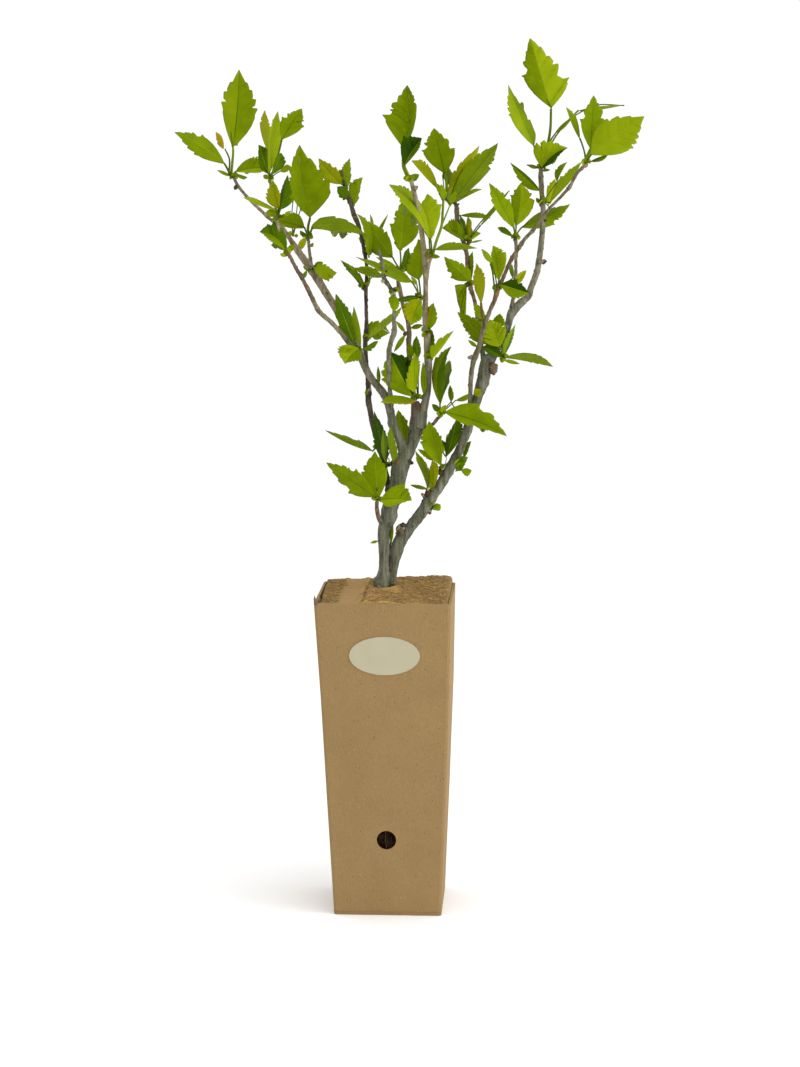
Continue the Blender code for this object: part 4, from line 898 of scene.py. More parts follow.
        (498.9, 280.0, 492.8, 245.6, 0.5, (6.5, 0.42), (11.5, 0.82), 4, 10, 'ml', 'RL'),
        (492, 263, 482, 249, 0, (3.0, 0.45), (3.0, 0.45), -6, -10, 'm', 'OO'),
        (500.3, 284.4, 529.2, 293.3, 0.0, (9.5, 0.5), (9.5, 0.54), -8, -16, 'Dm', 'LR'),
        (512.8, 278.0, 512.0, 264.0, 0.0, (3.0, 0.66), (1.5, 0.42), 6, 8, 'd', 'OO'),
        (515.5, 282.5, 526.4, 270.2, 0.0, (3.5, 0.47), (4.0, 0.23), 4, 8, 'y', 'OO'),
        (481.5, 303.0, 476.4, 263.1, 0.0, (5.5, 0.54), (6.5, 0.64), -14, -20, 'y', 'RR'),
        (498, 276, 495, 260, 0, (5.0, 0.45), (5.0, 0.45), 14, 34, 'm', 'OO'),
    )),
    "foliage_right_low": ((503, 356, -4), (
        (490.0, 345.0, 457.3, 311.8, 0.0, (9.5, 0.43), (8.0, 0.55), 10, 16, 'm', 'LR'),
        (500.0, 347.0, 489.4, 319.5, 0.0, (13.5, 0.43), (12.5, 0.6), -14, -20, 'l', 'RL'),
        (503.0, 358.0, 483.3, 346.7, 0.5, (4.0, 0.79), (7.0, 0.75), -10, -16, 'dD', 'OO'),
        (499.0, 327.0, 500.0, 313.5, 0.0, (6.5, 0.4), (6.0, 0.1), -6, -8, 'm', 'OO'),
        (503.5, 357.0, 515.6, 324.4, -0.5, (4.5, 0.4), (3.0, 0.52), 8, 14, 'md', 'RR'),
        (504.4, 358.0, 553.0, 367.0, -5.0, (4.5, 0.60), (4.5, 0.55), -10, -24, 'm', 'OO'),
        (504, 360, 520, 364, 0, (2.0, 0.45), (2.0, 0.45), 2, 6, 'm', 'NN'),
        (477, 347, 468, 340, 0, (2.0, 0.45), (2.0, 0.45), -4, -8, 'm', 'NN'),
        (496, 346, 490, 330, 0, (8.0, 0.45), (8.0, 0.45), 16, 40, 'm', 'OO'),
    )),
    "foliage_trunk_front": ((377, 500, -26), (
        (375.0, 497.0, 326.1, 462.6, 0.0, (11.5, 0.41), (11.5, 0.53), -8, -20, 'm', 'LL'),
        (378.9, 497.8, 375.0, 451.0, -1.0, (14.0, 0.5), (11.5, 0.52), 4, 8, 'm', 'RR'),
        (380.0, 500.0, 411.7, 500.6, -1.5, (15.5, 0.78), (8.0, 0.18), -12, -24, 'ml', 'LR'),
        (375, 494, 370, 474, 0, (7.0, 0.45), (7.0, 0.45), 12, 30, 'm', 'OO'),
    )),
    "foliage_trunk_left": ((378, 447, 27), (
        (372.8, 451.0, 325.0, 430.2, 0.0, (3.0, 0.59), (4.5, 0.34), 2, 12, 'm', 'NL'),
    )),
    "foliage_trunk_upper": ((389, 466, 8), (
        (386, 465, 374, 411, 0, (7.0, 0.45), (7.0, 0.45), 8, 12, 'D', 'RR'),
        (385.6, 462.2, 383.3, 429.1, 0.0, (3.5, 0.38), (3.5, 0.87), -8, -12, 'md', 'OL'),
        (393.0, 462.0, 390.6, 426.1, 0.0, (4.0, 0.68), (5.0, 0.23), -30, -30, 'm', 'OR'),
        (406.1, 447.8, 398.3, 410.0, 0.5, (5.5, 0.73), (8.5, 0.52), 12, 18, 'm', 'OL'),
        (388, 456, 386, 432, 0, (6.0, 0.45), (6.0, 0.45), 14, 38, 'm', 'OO'),
    )),
    "foliage_stem_inner": ((444, 468, -6), (
        (441.1, 465.6, 428.9, 421.1, -1.0, (12.5, 0.6), (8.5, 0.63), -8, -16, 'm', 'RL'),
        (446.0, 457.0, 457.0, 417.0, 1.0, (5.5, 0.37), (8.5, 0.76), 6, 14, 'd', 'RR'),
        (436.0, 459.0, 417.8, 449.4, 0.0, (4.0, 0.28), (3.0, 0.34), -4, -10, 'm', 'OO'),
        (442, 456, 442, 436, 0, (6.5, 0.45), (6.5, 0.45), 12, 34, 'm', 'OO'),
    )),
    "foliage_stem_outer": ((458, 463, -4), (
        (463.0, 457.0, 471.1, 441.1, -0.5, (3.0, 0.85), (2.5, 0.12), 4, 8, 'm', 'OO'),
        (456.0, 471.0, 468.0, 456.9, -0.5, (5.5, 0.68), (4.0, 0.17), 0, 4, 'd', 'OO'),
        (461, 470, 471.7, 470.6, 0, (2.0, 0.5), (6.0, 0.6), -4, -10, 'l', 'OO'),
    )),
    "foliage_stem_low": ((430, 490, -3), (
        (433.3, 487.8, 432.2, 460.0, 0.5, (5.0, 0.29), (5.5, 0.75), -4, -8, 'y', 'OO'),
        (427.8, 490.0, 415.5, 451.0, 3.5, (4.5, 0.91), (4.0, 0.43), 2, 6, 'm', 'RR'),
        (427, 489, 410, 485, 0, (2.0, 0.45), (2.0, 0.45), -2, -6, 'd', 'NN'),
    )),
    "foliage_stem_foot": ((429, 507, 2), (
        (431, 511, 429.8, 503.6, 0, (3.3, 0.5), (3.3, 0.5), -2, -4, 'D', 'OO'),
        (434, 509.5, 440.6, 504.6, 0, (4.2, 0.5), (4.2, 0.5), 0, 4, 'm', 'OO'),
    )),
    "foliage_hidden_left": ((293, 236, 42), (
        (298, 192, 299, 166, 0, (9.0, 0.45), (9.0, 0.45), 34, 44, 'm', 'RR'),
        (293, 202, 287, 190, 0, (5.0, 0.45), (5.0, 0.45), 22, 30, 'm', 'OO'),
        (303, 202, 312, 188, 0, (7.0, 0.45), (7.0, 0.45), 30, 48, 'm', 'RR'),
        (299, 202, 300, 184, 0, (9.0, 0.45), (9.0, 0.45), 44, 80, 'm', 'RR'),
    )),
    "foliage_hidden_right": ((478, 321, 42), (
        (486, 326, 480, 316, 0, (6.0, 0.45), (6.0, 0.45), 22, 48, 'm', 'OO'),
        (490, 330, 496, 336, 0, (6.0, 0.45), (6.0, 0.45), 26, 54, 'm', 'OO'),
        (488, 328, 489, 324, 0, (8.0, 0.45), (8.0, 0.45), 30, 84, 'm', 'RR'),
    )),
    "foliage_hidden_centre": ((411, 376, 33), (
        (403, 370, 398, 358, 0, (7.0, 0.45), (7.0, 0.45), 20, 48, 'm', 'OO'),
        (407, 374, 411, 382, 0, (6.0, 0.45), (6.0, 0.45), 24, 52, 'm', 'OO'),
        (404, 372, 404, 368, 0, (8.0, 0.45), (8.0, 0.45), 30, 84, 'm', 'RR'),
    )),
}
# Small leaves that sit on a limb by themselves
LOOSE = (
    ((443.4, 201, -40), (443.6, 200.0, 441.0, 184.0, 0.5, (3.4, 0.45), (3.4, 0.45), 0, 6, 'm', 'OO')),
    ((443.4, 201, -40), (439.5, 194.0, 447.5, 193.0, 0, (7.0, 0.42), (7.0, 0.42), 6, 38, 'm', 'RR')),
    ((450, 205, -42), (450.2, 204.0, 456.0, 191.0, -0.5, (3.0, 0.45), (3.2, 0.45), 0, 8, 'm', 'OO')),
    ((450, 205, -42), (447.0, 199.0, 454.0, 198.0, 0, (6.0, 0.42), (6.0, 0.42), 6, 34, 'd', 'RR')),
    ((303, 280, -67), (303, 279, 299, 271, 0, (2.0, 0.45), (2.0, 0.45), 0, -4, 'd', 'OO')),
    ((303, 280, -67), (303, 279, 307, 270, 0, (2.0, 0.45), (2.0, 0.45), 0, 4, 'd', 'OO')),
    ((407, 332, 53), (405, 335, 394, 352, 0, (2.5, 0.45), (2.5, 0.45), -6, -14, 'm', 'NN')),
    ((407, 332, 53), (405, 332, 396, 321, 0, (2.0, 0.45), (2.0, 0.45), 2, 6, 'l', 'NN')),
    ((407, 332, 53), (411, 328, 423, 325, 0, (2.5, 0.45), (2.5, 0.45), 0, -8, 'm', 'NN')),
    ((484, 322, -40), (484, 320, 474, 303, 0, (4.5, 0.45), (4.5, 0.45), -2, -6, 'm', 'OO')),
    ((472, 396, -11), (474, 395, 481, 390, 0, (4.5, 0.45), (4.5, 0.45), -2, -4, 'y', 'OO')),
    ((390, 545, 1), (391, 544, 392, 518, 0, (2.0, 0.45), (2.0, 0.45), -2, -4, 'm', 'NN')),
    ((380, 541, -3), (378, 541, 370, 543, 0, (1.5, 0.45), (1.5, 0.45), -2, -4, 'm', 'NN')),
    ((379, 386, -14), (379, 384, 378, 366, 0, (2.0, 0.45), (2.0, 0.45), -2, -6, 'd', 'NN')),
    ((298, 250, 35), (299, 251, 306, 237, 0, (4.0, 0.5), (3.0, 0.5), 3, 15, 'y', 'OO')),
)


# Shoots and long stalks with a bend of their own: thickness in units, material, stations (across, down, depth)
SHOOTS = (
    (1.8, STALK, (228.5, 176, 75), (229.5, 160, 73), (225, 149, 77)), (2.6, STALK_BRIGHT, (231, 176, 75), (233, 155, 72), (233, 147.5, 73)),
    (2.4, STALK, (232, 178, 75), (228, 170, 71), (224.7, 164, 70)), (2.8, STALK, (308.4, 238, -13), (308, 228, -18), (310, 218, -22)),
    (2.2, STALK, (308, 237, -13), (311, 231, -20), (312.4, 228, -24)), (2.4, STALK_WARM, (343, 183, 113), (342.6, 176, 112), (342.2, 169.5, 112)),
    (4.2, STALK_BRIGHT, (410, 181, -94), (406.6, 173.5, -95), (403.6, 165, -97), (404, 149.5, -98)),
    (3.2, STALK_BRIGHT, (446.6, 199, 125), (446.6, 186, 127), (445.4, 173.6, 130)),
    (2.8, STALK_BRIGHT, (431.5, 258, -70), (433.6, 251, -71), (436.4, 241, -66), (441.6, 225.6, -56), (442.6, 213, -46), (443.4, 201, -40)),
    (1.6, STALK_BRIGHT, (441.6, 225.6, -56), (446, 215, -48), (450, 205, -42)),
    (1.3, STALK, (470, 243, 98), (473, 233, 101), (478, 225.4, 104), (490.4, 210.8, 110), (505.6, 194.4, 114), (509.6, 190.8, 115)),
    (3.0, STALK, (541, 170, 81), (544, 157, 82), (547.9, 143.3, 80), (550.4, 128, 78), (551, 109, 78)),
    (1.4, STALK, (547.6, 144, 80), (554.6, 134.4, 98), (564, 123.4, 100), (585.6, 109.4, 103), (600, 104.6, 105), (624.2, 105.6, 106)),
    (1.8, STALK_WARM, (541, 169, 81), (534, 166, 79), (527.2, 165, 76)), (1.4, STALK_WARM, (541, 170.5, 81), (545, 171, 80), (549, 170.2, 78)),
    (4.0, STALK_BRIGHT, (585.6, 165, -118), (587, 158, -118), (590.4, 149.6, -114)), (1.5, STALK, (495, 292, -58), (491, 264, -60), (484.4, 252.8, -67), (481.7, 249.8, -69)),
    (3.0, STALK_WARM, (484, 323, -40), (482, 314, -42), (481, 303, -46)), (2.6, STALK_WARM, (433.6, 424.4, -14), (434.6, 421.6, -15), (437.6, 417.4, -18)),
    (1.4, HAIR_PALE, (387, 466, 5), (386.4, 459.4, 0), (388.6, 458.6, -2), (389.4, 462, -4)), (1.0, HAIR_PALE, (443.6, 469, -7), (446.8, 458, -15), (445, 456.4, -15)),
)
# Buds, nodes and dried bits on the limbs: place, long way (across, up), length, width, material
BUDS = (
    ((236,187,76), (0.6,-1), 7, 5, STALK_BRIGHT),
    ((311.5,237,-16), (0.3,-1), 5, 4, STALK_BRIGHT),
    ((312,245,-8), (0.6,-1), 5, 4, STALK_BRIGHT),
    ((308,238,-12), (0,-1), 7, 5, STALK_WARM),
    ((377,489,-24), (0,-1), 4, 3, STALK_WARM),
    ((397.8,462.6,-6), (0.2,-1), 6, 5, BUD_ORANGE),
    ((440.3,471.6,-5), (0.3,-1), 8, 7, BUD_BROWN),
    ((428,493,-2), (0.3,-1), 9, 7, BUD_BROWN),
    ((416,187.6,-91), (0.6,-0.5), 5, 4.6, SMOOTH_BARK),
    ((366.7,392.8,42), (-0.4,-1), 6, 5, STALK_BRIGHT),
    ((393,293,-61), (0.1,-1), 7, 6, HAIR_PALE),
    ((382.8,281,-67), (0,-1), 5, 4.4, HAIR_PALE),
    ((496.4,293,-60), (0.2,-1), 7, 4.8, BUD_ORANGE),
    ((477.6,392.6,-12), (0.2,-1), 3, 3, BUD_BROWN),
    ((412.5,278.5,-50), (-0.6,-1), 5, 2.6, HAIR_PALE),
    ((407,302.3,-62), (-1,-0.2), 4, 2.4, HAIR_PALE),
    ((428,489,-8), (0.3,-1), 3.4, 2.4, HAIR_PALE),
    ((429.6,486.6,-8), (0.5,-1), 3, 2, HAIR_PALE),
    ((430,256.6,-73), (0.2,-1), 6, 5, BUD_ORANGE),
    ((585.6,164.6,-118), (0.4,-1), 7, 5.4, BUD_PINK),
    ((421,297.4,-47), (0.2,-1), 6, 5.4, STALK_WARM),
    ((427,332,-36), (0,-1), 6, 5, STALK_WARM),
    ((277,217.6,-102), (-0.2,-1), 6, 4.6, STALK_WARM),
    ((287.4,253.6,-85), (-0.4,-1), 6, 4.8, STALK_WARM),
    ((358.4,350,-19), (-0.4,-1), 8, 6, STALK_WARM),
    ((468.4,243,98), (0.1,-1), 6, 5, STALK_WARM),
    ((470.4,286,70), (0,-1), 6, 5, STALK_WARM),
    ((515,239.4,63), (0,-1), 6, 4.6, STALK_WARM),
    ((541.6,205,69), (0.1,-1), 6, 5.4, BUD_BROWN),
    ((503,358.6,-4), (0.4,-1), 9, 7, STALK_BRIGHT),
    ((342.6,182.6,112), (-0.2,-1), 6, 4.4, STALK_WARM),
    ((269.8,180.6,-112), (0,-1), 6, 4.6, STALK_BRIGHT),
    ((441,415,-21), (0.5,-1), 6, 5, STALK_BRIGHT),
    ((457.6,464.6,-4), (0.5,-0.6), 6, 5, STALK_BRIGHT),
    ((430,513,0), (0.5,-0.6), 4, 3.4, STALK_WARM),
    ((404.8,334,53), (-0.2,-1), 5, 4.6, STALK_WARM),
    ((364.6,289,79), (0.2,-1), 5, 4.4, STALK_WARM),
    ((367,339,60), (0,-1), 6, 5.2, STALK_WARM),
    ((399.8,271,79), (0.2,-1), 6, 4.8, STALK_WARM),
)

leaf_heaps = [Heap(), Heap(), Heap()]
stalks = Heap()
masses = [[], [], []]
rng = random.Random(20)

BACK_LIMIT = 164.0


def stood_up(node, row):
    """A leaf at the back of the crown, turned so that its breadth stands up and shows from the sides."""
    bu, bv, tu, tv, bend, (lw, lx), (rw, rx), db, dt, tone, kinds = row
    cu, cv = (bu + tu) / 2, (bv + tv) / 2
    half = min(5.5, math.hypot(tu - bu, tv - bv) / 2)
    hand = 1 if tu >= bu else -1
    room = BACK_LIMIT - node[2]
    return (cu - hand * half, cv + 1, cu + hand * half, cv - 1, 0, (max(lw, 6.5), lx), (max(rw, 6.5), rx), min(db, room), min(dt, room), tone, kinds)


for name, (node, rows) in SPRAYS.items():
    across = node[0]
    group = 0 if across < 365 else (1 if across < 435 else 2)
    masses[group].append(name)
    for row in rows:
        if row[8] - row[7] > 18:
            near = min((r for r in rows if r[8] - r[7] <= 18), key=lambda r: math.hypot(r[0] - row[0], r[1] - row[1]), default=None)
            foot = (near[0], near[1], node[2] + near[7]) if near else node
            blade(leaf_heaps[group], node, stood_up(node, row), rng, foot)
        else:
            blade(leaf_heaps[group], node, row, rng)
for node, row in LOOSE:
    across = node[0]
    group = 0 if across < 365 else (1 if across < 435 else 2)
    blade(leaf_heaps[group], node, row, rng)

# Young leaves that the rule adds round each growth point: they fan out by the golden angle, some
# towards the view, some behind it and some back along the limb, and stay short so that the gaps stay open.
tuft_rng = random.Random(47)
for name, (node, rows) in SPRAYS.items():
    group = 0 if node[0] < 365 else (1 if node[0] < 435 else 2)
    turn = tuft_rng.uniform(0, 6.283)
    hidden = name.startswith("foliage_hidden")
    for k in range(3 if hidden else 5):
        turn += 2.39996
        over, lift, into = math.cos(turn), 0.55 + 0.45 * math.sin(turn * 1.7), math.sin(turn)
        long = tuft_rng.uniform(7, 13) if k < 2 else tuft_rng.uniform(12, 19)
        flat = long * (0.55 if k < 2 else 0.30)
        bu, bv = node[0] + over * flat * 0.25, node[1] - lift * flat * 0.25
        tu, tv = node[0] + over * flat, node[1] - lift * flat
        row = (bu, bv, tu, tv, 0, (long * 0.20, 0.45), (long * 0.20, 0.45), into * long * 0.3, into * long * 1.1 + (0 if k < 2 else 6), tuft_rng.choice("mldm"), "OO")
        blade(leaf_heaps[group], node, row, tuft_rng)

# Behind each large leaf the rule grows others that reach back into the crown's depth. Their breadth
# stands upright, so that they show from the sides and the back, and the large leaf covers them in front.
side_rng = random.Random(83)
for name, (node, rows) in SPRAYS.items():
    group = 0 if node[0] < 365 else (1 if node[0] < 435 else 2)
    for bu, bv, tu, tv, bend, (lw, _), (rw, _), db, dt, tone, kinds in rows:
        run = math.hypot(tu - bu, tv - bv)
        if run < 30 or min(lw, rw) < 5 or max(abs(db), abs(dt)) > 40:
            continue
        upright = abs(tv - bv) > abs(tu - bu)
        room = min(lw, rw) * 0.8 if upright else run * 0.3
        tall = min(9.0, run * 0.22) if upright else min(lw, rw) * 0.75
        for k in range(2 if run > 44 else 1):
            f = 0.38 + 0.20 * k + side_rng.uniform(-0.03, 0.03)
            cu, cv = bu + (tu - bu) * f, bv + (tv - bv) * f
            hand = side_rng.choice((-1, 1))
            half = min(room, 4.5)
            end = BACK_LIMIT - node[2]
            start = min(7 + 9 * k + max(db, dt, 0), end - 20)
            reach = min(start + side_rng.uniform(26, 42), end)
            row = (cu - hand * half, cv + side_rng.uniform(0, 2), cu + hand * half, cv - side_rng.uniform(0, 2), 0, (tall, 0.42), (tall, 0.42), start, reach, side_rng.choice("mdml"), "RR")
            blade(leaf_heaps[group], node, row, side_rng, (bu, bv, node[2] + db))

for thick, material, *stations in SHOOTS:
    places = [sight(*s) for s in stations]
    radii = [thick * UNIT * 0.5 * (1.12 - 0.28 * i / (len(places) - 1)) for i in range(len(places))]
    tube(stalks, places, radii, material, 9, 0.0016)
for index, (place, (over, lift), long, wide, material) in enumerate(BUDS):
    blob(stalks, sight(*place), RIGHT * over - UP * lift, long * UNIT, wide * UNIT, material, index * 1.3, 12, 9, 0.30, 0.25)

leaf_pieces = [heap.piece("leaves_" + side) for heap, side in zip(leaf_heaps, ("left", "centre", "right"))]
stalk_piece = stalks.piece("stalks")

# ------------------------------------------------------------------ carton
LEVELS = (
    (0.0, -0.0517, 0.0519, -0.0510, 0.0510),
    (0.110, -0.0577, 0.0562, -0.0562, 0.0562),
    (0.215, -0.0632, 0.0597, -0.0607, 0.0607),
    (0.3065, -0.0690, 0.0610, -0.0650, 0.0650),
)
WALL = 0.0025


def level_at(height):
    height = max(0.0, min(height, LEVELS[-1][0]))
    for low, high in zip(LEVELS, LEVELS[1:]):
        if height <= high[0]:
            t = (height - low[0]) / (high[0] - low[0])
            return [a + (b - a) * t for a, b in zip(low[1:], high[1:])]
    return list(LEVELS[-1][1:])


kraft = kraft_material()
carton_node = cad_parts["carton"]
carton_node.data.materials.clear()
carton_node.data.materials.append(kraft)

label_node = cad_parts["label"]
label_mat = soft_material("label_paper", [(0.35, (0.405, 0.372, 0.250)), (0.65, (0.425, 0.392, 0.268))], 60, 0.55, 500, 0.0002)
label_node.data.materials.clear()
label_node.data.materials.append(label_mat)

root_mat = soft_material("soil", [(0.3, (0.005, 0.002, 0.001)), (0.5, (0.011, 0.005, 0.002)), (0.7, (0.026, 0.013, 0.007))], 160, 0.97, 300, 0.003, 0.02)
root_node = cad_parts["root_ball"]
root_node.data.materials.clear()
root_node.data.materials.append(root_mat)

mat_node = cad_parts["mulch_mat"]


def on_level(across, down, height):
    """The point at a given height on the line of sight through a place on the elevation."""
    way = -BACK + RIGHT * ((across - MIDDLE[0]) / UNITS_PER_RADIAN) - UP * ((down - MIDDLE[1]) / UNITS_PER_RADIAN)
    return EYE + way * ((height - EYE.z) / way.z)


def coir_material(name, stops, left):
    """Matted coconut fibre: tan and brown strands in clumps, darker towards one side."""
    made, tree, bsdf = shader_of(name, stops[1][1], 0.95, 0.08)
    coords = object_coords(tree)
    clumps = noise_at(tree, coords, 150, 6.0, 0.75, distortion=1.2)
    tone = ramp(tree, clumps, stops)
    if left:
        split = tree.nodes.new("ShaderNodeSeparateXYZ")
        tree.links.new(coords, split.inputs["Vector"])
        wander = tree.nodes.new("ShaderNodeMath")
        wander.operation = "MULTIPLY_ADD"
        wander.inputs[1].default_value = 0.05
        tree.links.new(noise_at(tree, coords, 60, 3.0), wander.inputs[0])
        tree.links.new(split.outputs["X"], wander.inputs[2])
        span = tree.nodes.new("ShaderNodeMapRange")
        span.inputs["From Min"].default_value = -0.050
        span.inputs["From Max"].default_value = 0.085
        tree.links.new(wander.outputs["Value"], span.inputs["Value"])
        where = ramp(tree, span.outputs["Result"], [(0.10, (0.75, 0.75, 0.75)), (0.24, (0, 0, 0)), (0.80, (0, 0, 0)), (0.97, (0.55, 0.55, 0.55))])
        tone = mix(tree, where, tone, (0.120, 0.085, 0.030))
    tree.links.new(tone, bsdf.inputs["Base Color"])
    bump(tree, bsdf, noise_at(tree, coords, 1300, 4.0, 0.8, distortion=0.6), 0.7, 0.0006)
    return made


coir = coir_material("coir_mat", [(0.30, (0.290, 0.170, 0.044)), (0.50, (0.385, 0.235, 0.070)), (0.72, (0.455, 0.300, 0.112))], True)
coir_torn = coir_material("coir_torn", [(0.30, (0.270, 0.130, 0.048)), (0.50, (0.390, 0.215, 0.090)), (0.72, (0.450, 0.285, 0.140))], False)
coir_smooth = coir_material("coir_smooth", [(0.30, (0.285, 0.172, 0.064)), (0.50, (0.350, 0.218, 0.090)), (0.72, (0.410, 0.266, 0.120))], False)
FIBRES = [
    soft_material("fibre_" + key, [(0.3, low), (0.7, high)], 200, 0.9, 900, 0.0003, 0.1)
    for key, low, high in (("tan", (0.36, 0.235, 0.09), (0.43, 0.290, 0.125)), ("brown", (0.23, 0.135, 0.045), (0.30, 0.180, 0.062)), ("pale", (0.44, 0.315, 0.155), (0.50, 0.375, 0.205)))
]

# The mat: the CAD mat with a matted surface, a slit from the stem to its left front, and torn edges along it.
mat_mesh = mat_node.data.copy()
coir_mat = bpy.data.objects.new("coir_mat", mat_mesh)
bpy.context.scene.collection.objects.link(coir_mat)
coir_mat.matrix_world = mat_node.matrix_world
voxel = coir_mat.modifiers.new("remesh", "REMESH")
voxel.mode, voxel.voxel_size = "VOXEL", 0.0013
shaped = bpy.data.meshes.new_from_object(coir_mat.evaluated_get(bpy.context.evaluated_depsgraph_get()))
coir_mat.modifiers.clear()
coir_mat.data = shaped
mat_low, mat_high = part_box("mulch_mat")
TOP = mat_high.z - 0.002
SLIT = [on_level(*p, TOP) for p in ((374, 577), (367, 589), (364, 598), (346, 603.5))]
STEM_FOOT = sight(384.5, 590, 0)
SMOOTH = [on_level(*p, TOP) for p in ((348, 601), (350, 597), (352, 592), (355, 587), (359, 582), (363, 578))]


def smooth_at(p):
    """1 in the smooth, torn-back patch left of the stem and 0 outside it."""
    reach = min(math.hypot(p.x - q.x, (p.y - q.y) * 0.3) for q in SMOOTH)
    return max(0.0, min(1.0, (0.0150 - reach) / 0.008))


def off_slit(p):
    best = 1.0
    for q, r in zip(SLIT, SLIT[1:]):
        d = (r - q).to_2d()
        t = max(0.0, min(1.0, (p.to_2d() - q.to_2d()).dot(d) / d.length_squared))
        best = min(best, (p.to_2d() - q.to_2d() - d * t).length)
    return best


for v in shaped.vertices:
    up = max(0.0, v.normal.z - 0.25) / 0.75
    if not up:
        continue
    p = v.co
    inner = min(p.x - mat_low.x, mat_high.x - p.x, p.y - mat_low.y, mat_high.y - p.y)
    keep = max(0.0, min(1.0, inner / 0.004))
    lump = noise.fractal(Vector((p.x * 160, p.y * 160, 3.1)), 0.8, 2.0, 4) * 0.0006
    lump += noise.fractal(Vector((p.x * 620, p.y * 620, 7.7)), 0.7, 2.0, 3) * 0.00036
    lump *= 1 - 0.6 * smooth_at(p)
    gap = off_slit(p)
    lump -= 0.0019 * math.exp(-((gap / 0.0012) ** 2)) * keep
    lump += 0.0016 * math.exp(-(((gap - 0.004) / 0.003) ** 2)) * keep
    near = (p.to_2d() - STEM_FOOT.to_2d()).length
    lump += 0.0024 * math.exp(-((max(near - 0.0085, 0) / 0.004) ** 2))
    # The mat stands higher at the back, most of all at its right corner.
    back = max(0.0, (p.y - mat_low.y) / (mat_high.y - mat_low.y))
    over = (p.x - mat_low.x) / (mat_high.x - mat_low.x)
    lump += 0.0036 * back * back * min(1.0, 0.25 + over)
    v.co.z += up * lump * (0.45 + 0.55 * keep)
# The mat stops short of the left wall at the front, so that a narrow gap opens behind the torn corner.
for v in shaped.vertices:
    back = max(0.0, min(1.0, (v.co.y - mat_low.y) / (mat_high.y - mat_low.y)))
    over = (v.co.x - mat_low.x) / (mat_high.x - mat_low.x)
    v.co.x += 0.0026 * max(0.0, 1 - over / 0.35) ** 2 * (1 - back)
shaped.materials.clear()
shaped.materials.append(coir)
shaped.materials.append(coir_torn)
shaped.materials.append(coir_smooth)
TORN = [on_level(*p, TOP) for p in ((371, 594), (411, 593), (417, 590))]
for face in shaped.polygons:
    face.use_smooth = False
    spot = face.center
    if face.normal.z > 0 and smooth_at(spot) > 0.45 + 0.9 * noise.noise(spot * 420):
        face.material_index = 2
    for centre, reach in zip(TORN, (0.0075, 0.0035, 0.0045)):
        d = (spot - centre)
        if math.hypot(d.x, d.y * 0.45) < reach * (1 + 0.5 * noise.noise(spot * 300)) and face.normal.z > 0:
            face.material_index = 1

# Loose fibres that lie on the mat in arcs.
from mathutils.bvhtree import BVHTree

mat_tree = BVHTree.FromPolygons([tuple(v.co) for v in shaped.vertices], [tuple(f.vertices) for f in shaped.polygons])
fibres = Heap()
fibre_rng = random.Random(61)
made_fibres = 0
while made_fibres < 1900:
    at = Vector((fibre_rng.uniform(mat_low.x + 0.003, mat_high.x - 0.003), fibre_rng.uniform(mat_low.y + 0.003, mat_high.y - 0.003), 0))
    long = fibre_rng.uniform(0.003, 0.012)
    heading, curl = fibre_rng.uniform(0, 6.283), fibre_rng.uniform(-2.2, 2.2)
    lift = fibre_rng.uniform(0.0, 0.0010)
    thick = fibre_rng.uniform(0.00007, 0.00014)
    places = []
    for k in range(5):
        f = k / 4
        hit = mat_tree.ray_cast(Vector((at.x, at.y, mat_high.z + 0.02)), Vector((0, 0, -1)))
        if hit[0] is None or hit[1].z < 0.2:
            break
        places.append(hit[0] + Vector((0, 0, thick * 0.4 + lift * math.sin(math.pi * f))))
        at = at + Vector((math.cos(heading + curl * f), math.sin(heading + curl * f), 0)) * long / 4
    made_fibres += 1
    if len(places) < 5 or smooth_at(places[2]) > 0.4 or any((p.to_2d() - STEM_FOOT.to_2d()).length < 0.0115 for p in places):
        continue
    if any(not (mat_low.x + 0.001 < p.x < mat_high.x - 0.001 and mat_low.y + 0.001 < p.y < mat_high.y - 0.001) for p in places):
        continue
    pick = fibre_rng.random()
    tube(fibres, places, [thick] * 5, FIBRES[0] if pick < 0.52 else (FIBRES[1] if pick < 0.94 else FIBRES[2]), 4, 0.0016)
fibre_piece = fibres.piece("coir_fibres")

# The left wall's front corner, torn into grey slivers that stand off the mat. The third sliver is painted shade: a dark
# strip that stands for the shadowed gap between the wall and the mat.
torn = Heap()
SLIVERS_AND_GAP_SHADE = ((314.8, 600.6, -65.0, 3.0, 10.5), (316.6, 601.6, -64.6, 2.4, 8.0), (319.6, 601.4, -62.0, 2.6, 9.0))
torn_and_gap_shade_tone = soft_material("torn_kraft_and_gap_shade", [(0.3, (0.085, 0.062, 0.038)), (0.7, (0.200, 0.150, 0.095))], 220, 0.9, 700, 0.0005)
for index, (across, down, deep, broad, tall) in enumerate(SLIVERS_AND_GAP_SHADE):
    blob(torn, sight(across, down, deep), UP + RIGHT * 0.05 * (index - 1), tall * UNIT, broad * UNIT, torn_and_gap_shade_tone, index * 2.3, 10, 12, 0.5, 0.45)
torn_piece = torn.piece("torn_corner")

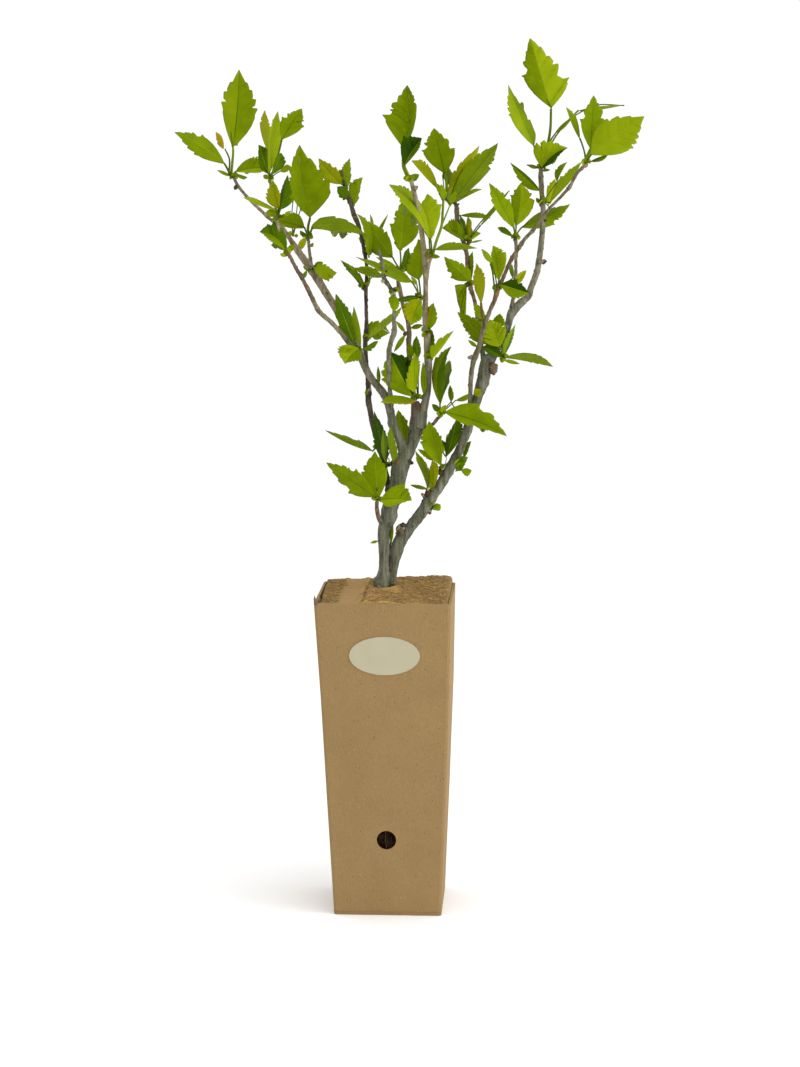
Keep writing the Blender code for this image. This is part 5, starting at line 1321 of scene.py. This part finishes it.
# Fine roots across the drainage hole, on the root ball's face.
roots = Heap()
root_rng = random.Random(9)
ROOT_TONES = (soft_material("root_pale", [(0.3, (0.050, 0.024, 0.012)), (0.7, (0.085, 0.045, 0.024))], 200, 0.9, 700, 0.0003), soft_material("root_dark", [(0.3, (0.014, 0.007, 0.004)), (0.7, (0.028, 0.014, 0.008))], 200, 0.9, 700, 0.0003))
for k in range(9):
    u = 386.5 + root_rng.uniform(-7, 7) if k else 385.6
    start = (u, 840 - root_rng.uniform(3, 7) if k else 831.5)
    end = (u + root_rng.uniform(-4, 4) if k else 386.2, 840 + root_rng.uniform(3, 7) if k else 848)
    places = []
    for f in (0, 0.33, 0.66, 1):
        a, d = start[0] + (end[0] - start[0]) * f + root_rng.uniform(-0.4, 0.4), start[1] + (end[1] - start[1]) * f
        way = (-BACK + RIGHT * ((a - MIDDLE[0]) / UNITS_PER_RADIAN) - UP * ((d - MIDDLE[1]) / UNITS_PER_RADIAN)).normalized()
        hit, where, normal, _ = root_node.ray_cast(root_node.matrix_world.inverted() @ (EYE + way * 2.0), way)
        if hit:
            places.append(where - way * 0.0004)
    if len(places) == 4:
        tube(roots, places, [0.0004 if k == 0 else 0.0003] * 4, ROOT_TONES[0 if k == 0 else 1], 6, 0.0015)
root_piece = roots.piece("fine_roots") if roots.points else None

# ------------------------------------------------------------------ riding and replacing
LIMB_NODES = list(LIMBS)
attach(bark_old, "root")
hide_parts("trunk", "stem_right")
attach(bark_young, "root")
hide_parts(*[n for n in LIMB_NODES if n not in ("trunk", "stem_right")])
for piece, nodes in zip(leaf_pieces, masses):
    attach(piece, "root")
    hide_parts(*nodes)
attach(coir_mat, "root")
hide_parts("mulch_mat")
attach(fibre_piece, "root")
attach(torn_piece, "root")
if root_piece:
    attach(root_piece, "root")
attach(stalk_piece, "root")

# ------------------------------------------------------------------ stage, light and camera
bpy.ops.mesh.primitive_plane_add(size=12.0, location=(0, 2.0, -0.0002))
floor = bpy.context.object
floor.name = "floor"
floor_mat, floor_tree, floor_bsdf = shader_of("floor_white", (0.97, 0.97, 0.97), 0.95, 0.0)
floor.data.materials.append(floor_mat)

world = bpy.data.worlds.new("studio")
bpy.context.scene.world = world
world.use_nodes = True
world.node_tree.nodes["Background"].inputs["Color"].default_value = (1.0, 1.0, 1.0, 1.0)
world.node_tree.nodes["Background"].inputs["Strength"].default_value = 1.04


def area_light(name, place, aim, size, power):
    data = bpy.data.lights.new(name, "AREA")
    data.shape, data.size, data.size_y, data.energy = "RECTANGLE", size[0], size[1], power
    made = bpy.data.objects.new(name, data)
    bpy.context.scene.collection.objects.link(made)
    made.location = place
    made.rotation_mode = "QUATERNION"
    made.rotation_quaternion = (Vector(aim) - Vector(place)).to_track_quat("-Z", "Y")
    return made


area_light("top_light", (0.5, -0.9, 2.3), (0, 0, 0.5), (1.2, 1.2), 10)
area_light("side_light", (1.9, -0.5, 0.6), (0, 0, 0.25), (1.4, 1.4), 20)

camera_data = bpy.data.cameras.new("camera")
camera_data.sensor_fit = "AUTO"
camera_data.sensor_width = 36.0
camera_data.lens = UNITS_PER_RADIAN * 36.0 / 1067.0
camera_data.clip_start, camera_data.clip_end = 0.05, 60.0
camera = bpy.data.objects.new("camera", camera_data)
bpy.context.scene.collection.objects.link(camera)
camera.location = EYE
camera.rotation_mode = "QUATERNION"
camera.rotation_quaternion = (-BACK).to_track_quat("-Z", "Y")
bpy.context.scene.camera = camera

bpy.context.scene.view_settings.view_transform = "Standard"
bpy.context.scene.view_settings.look = "None"
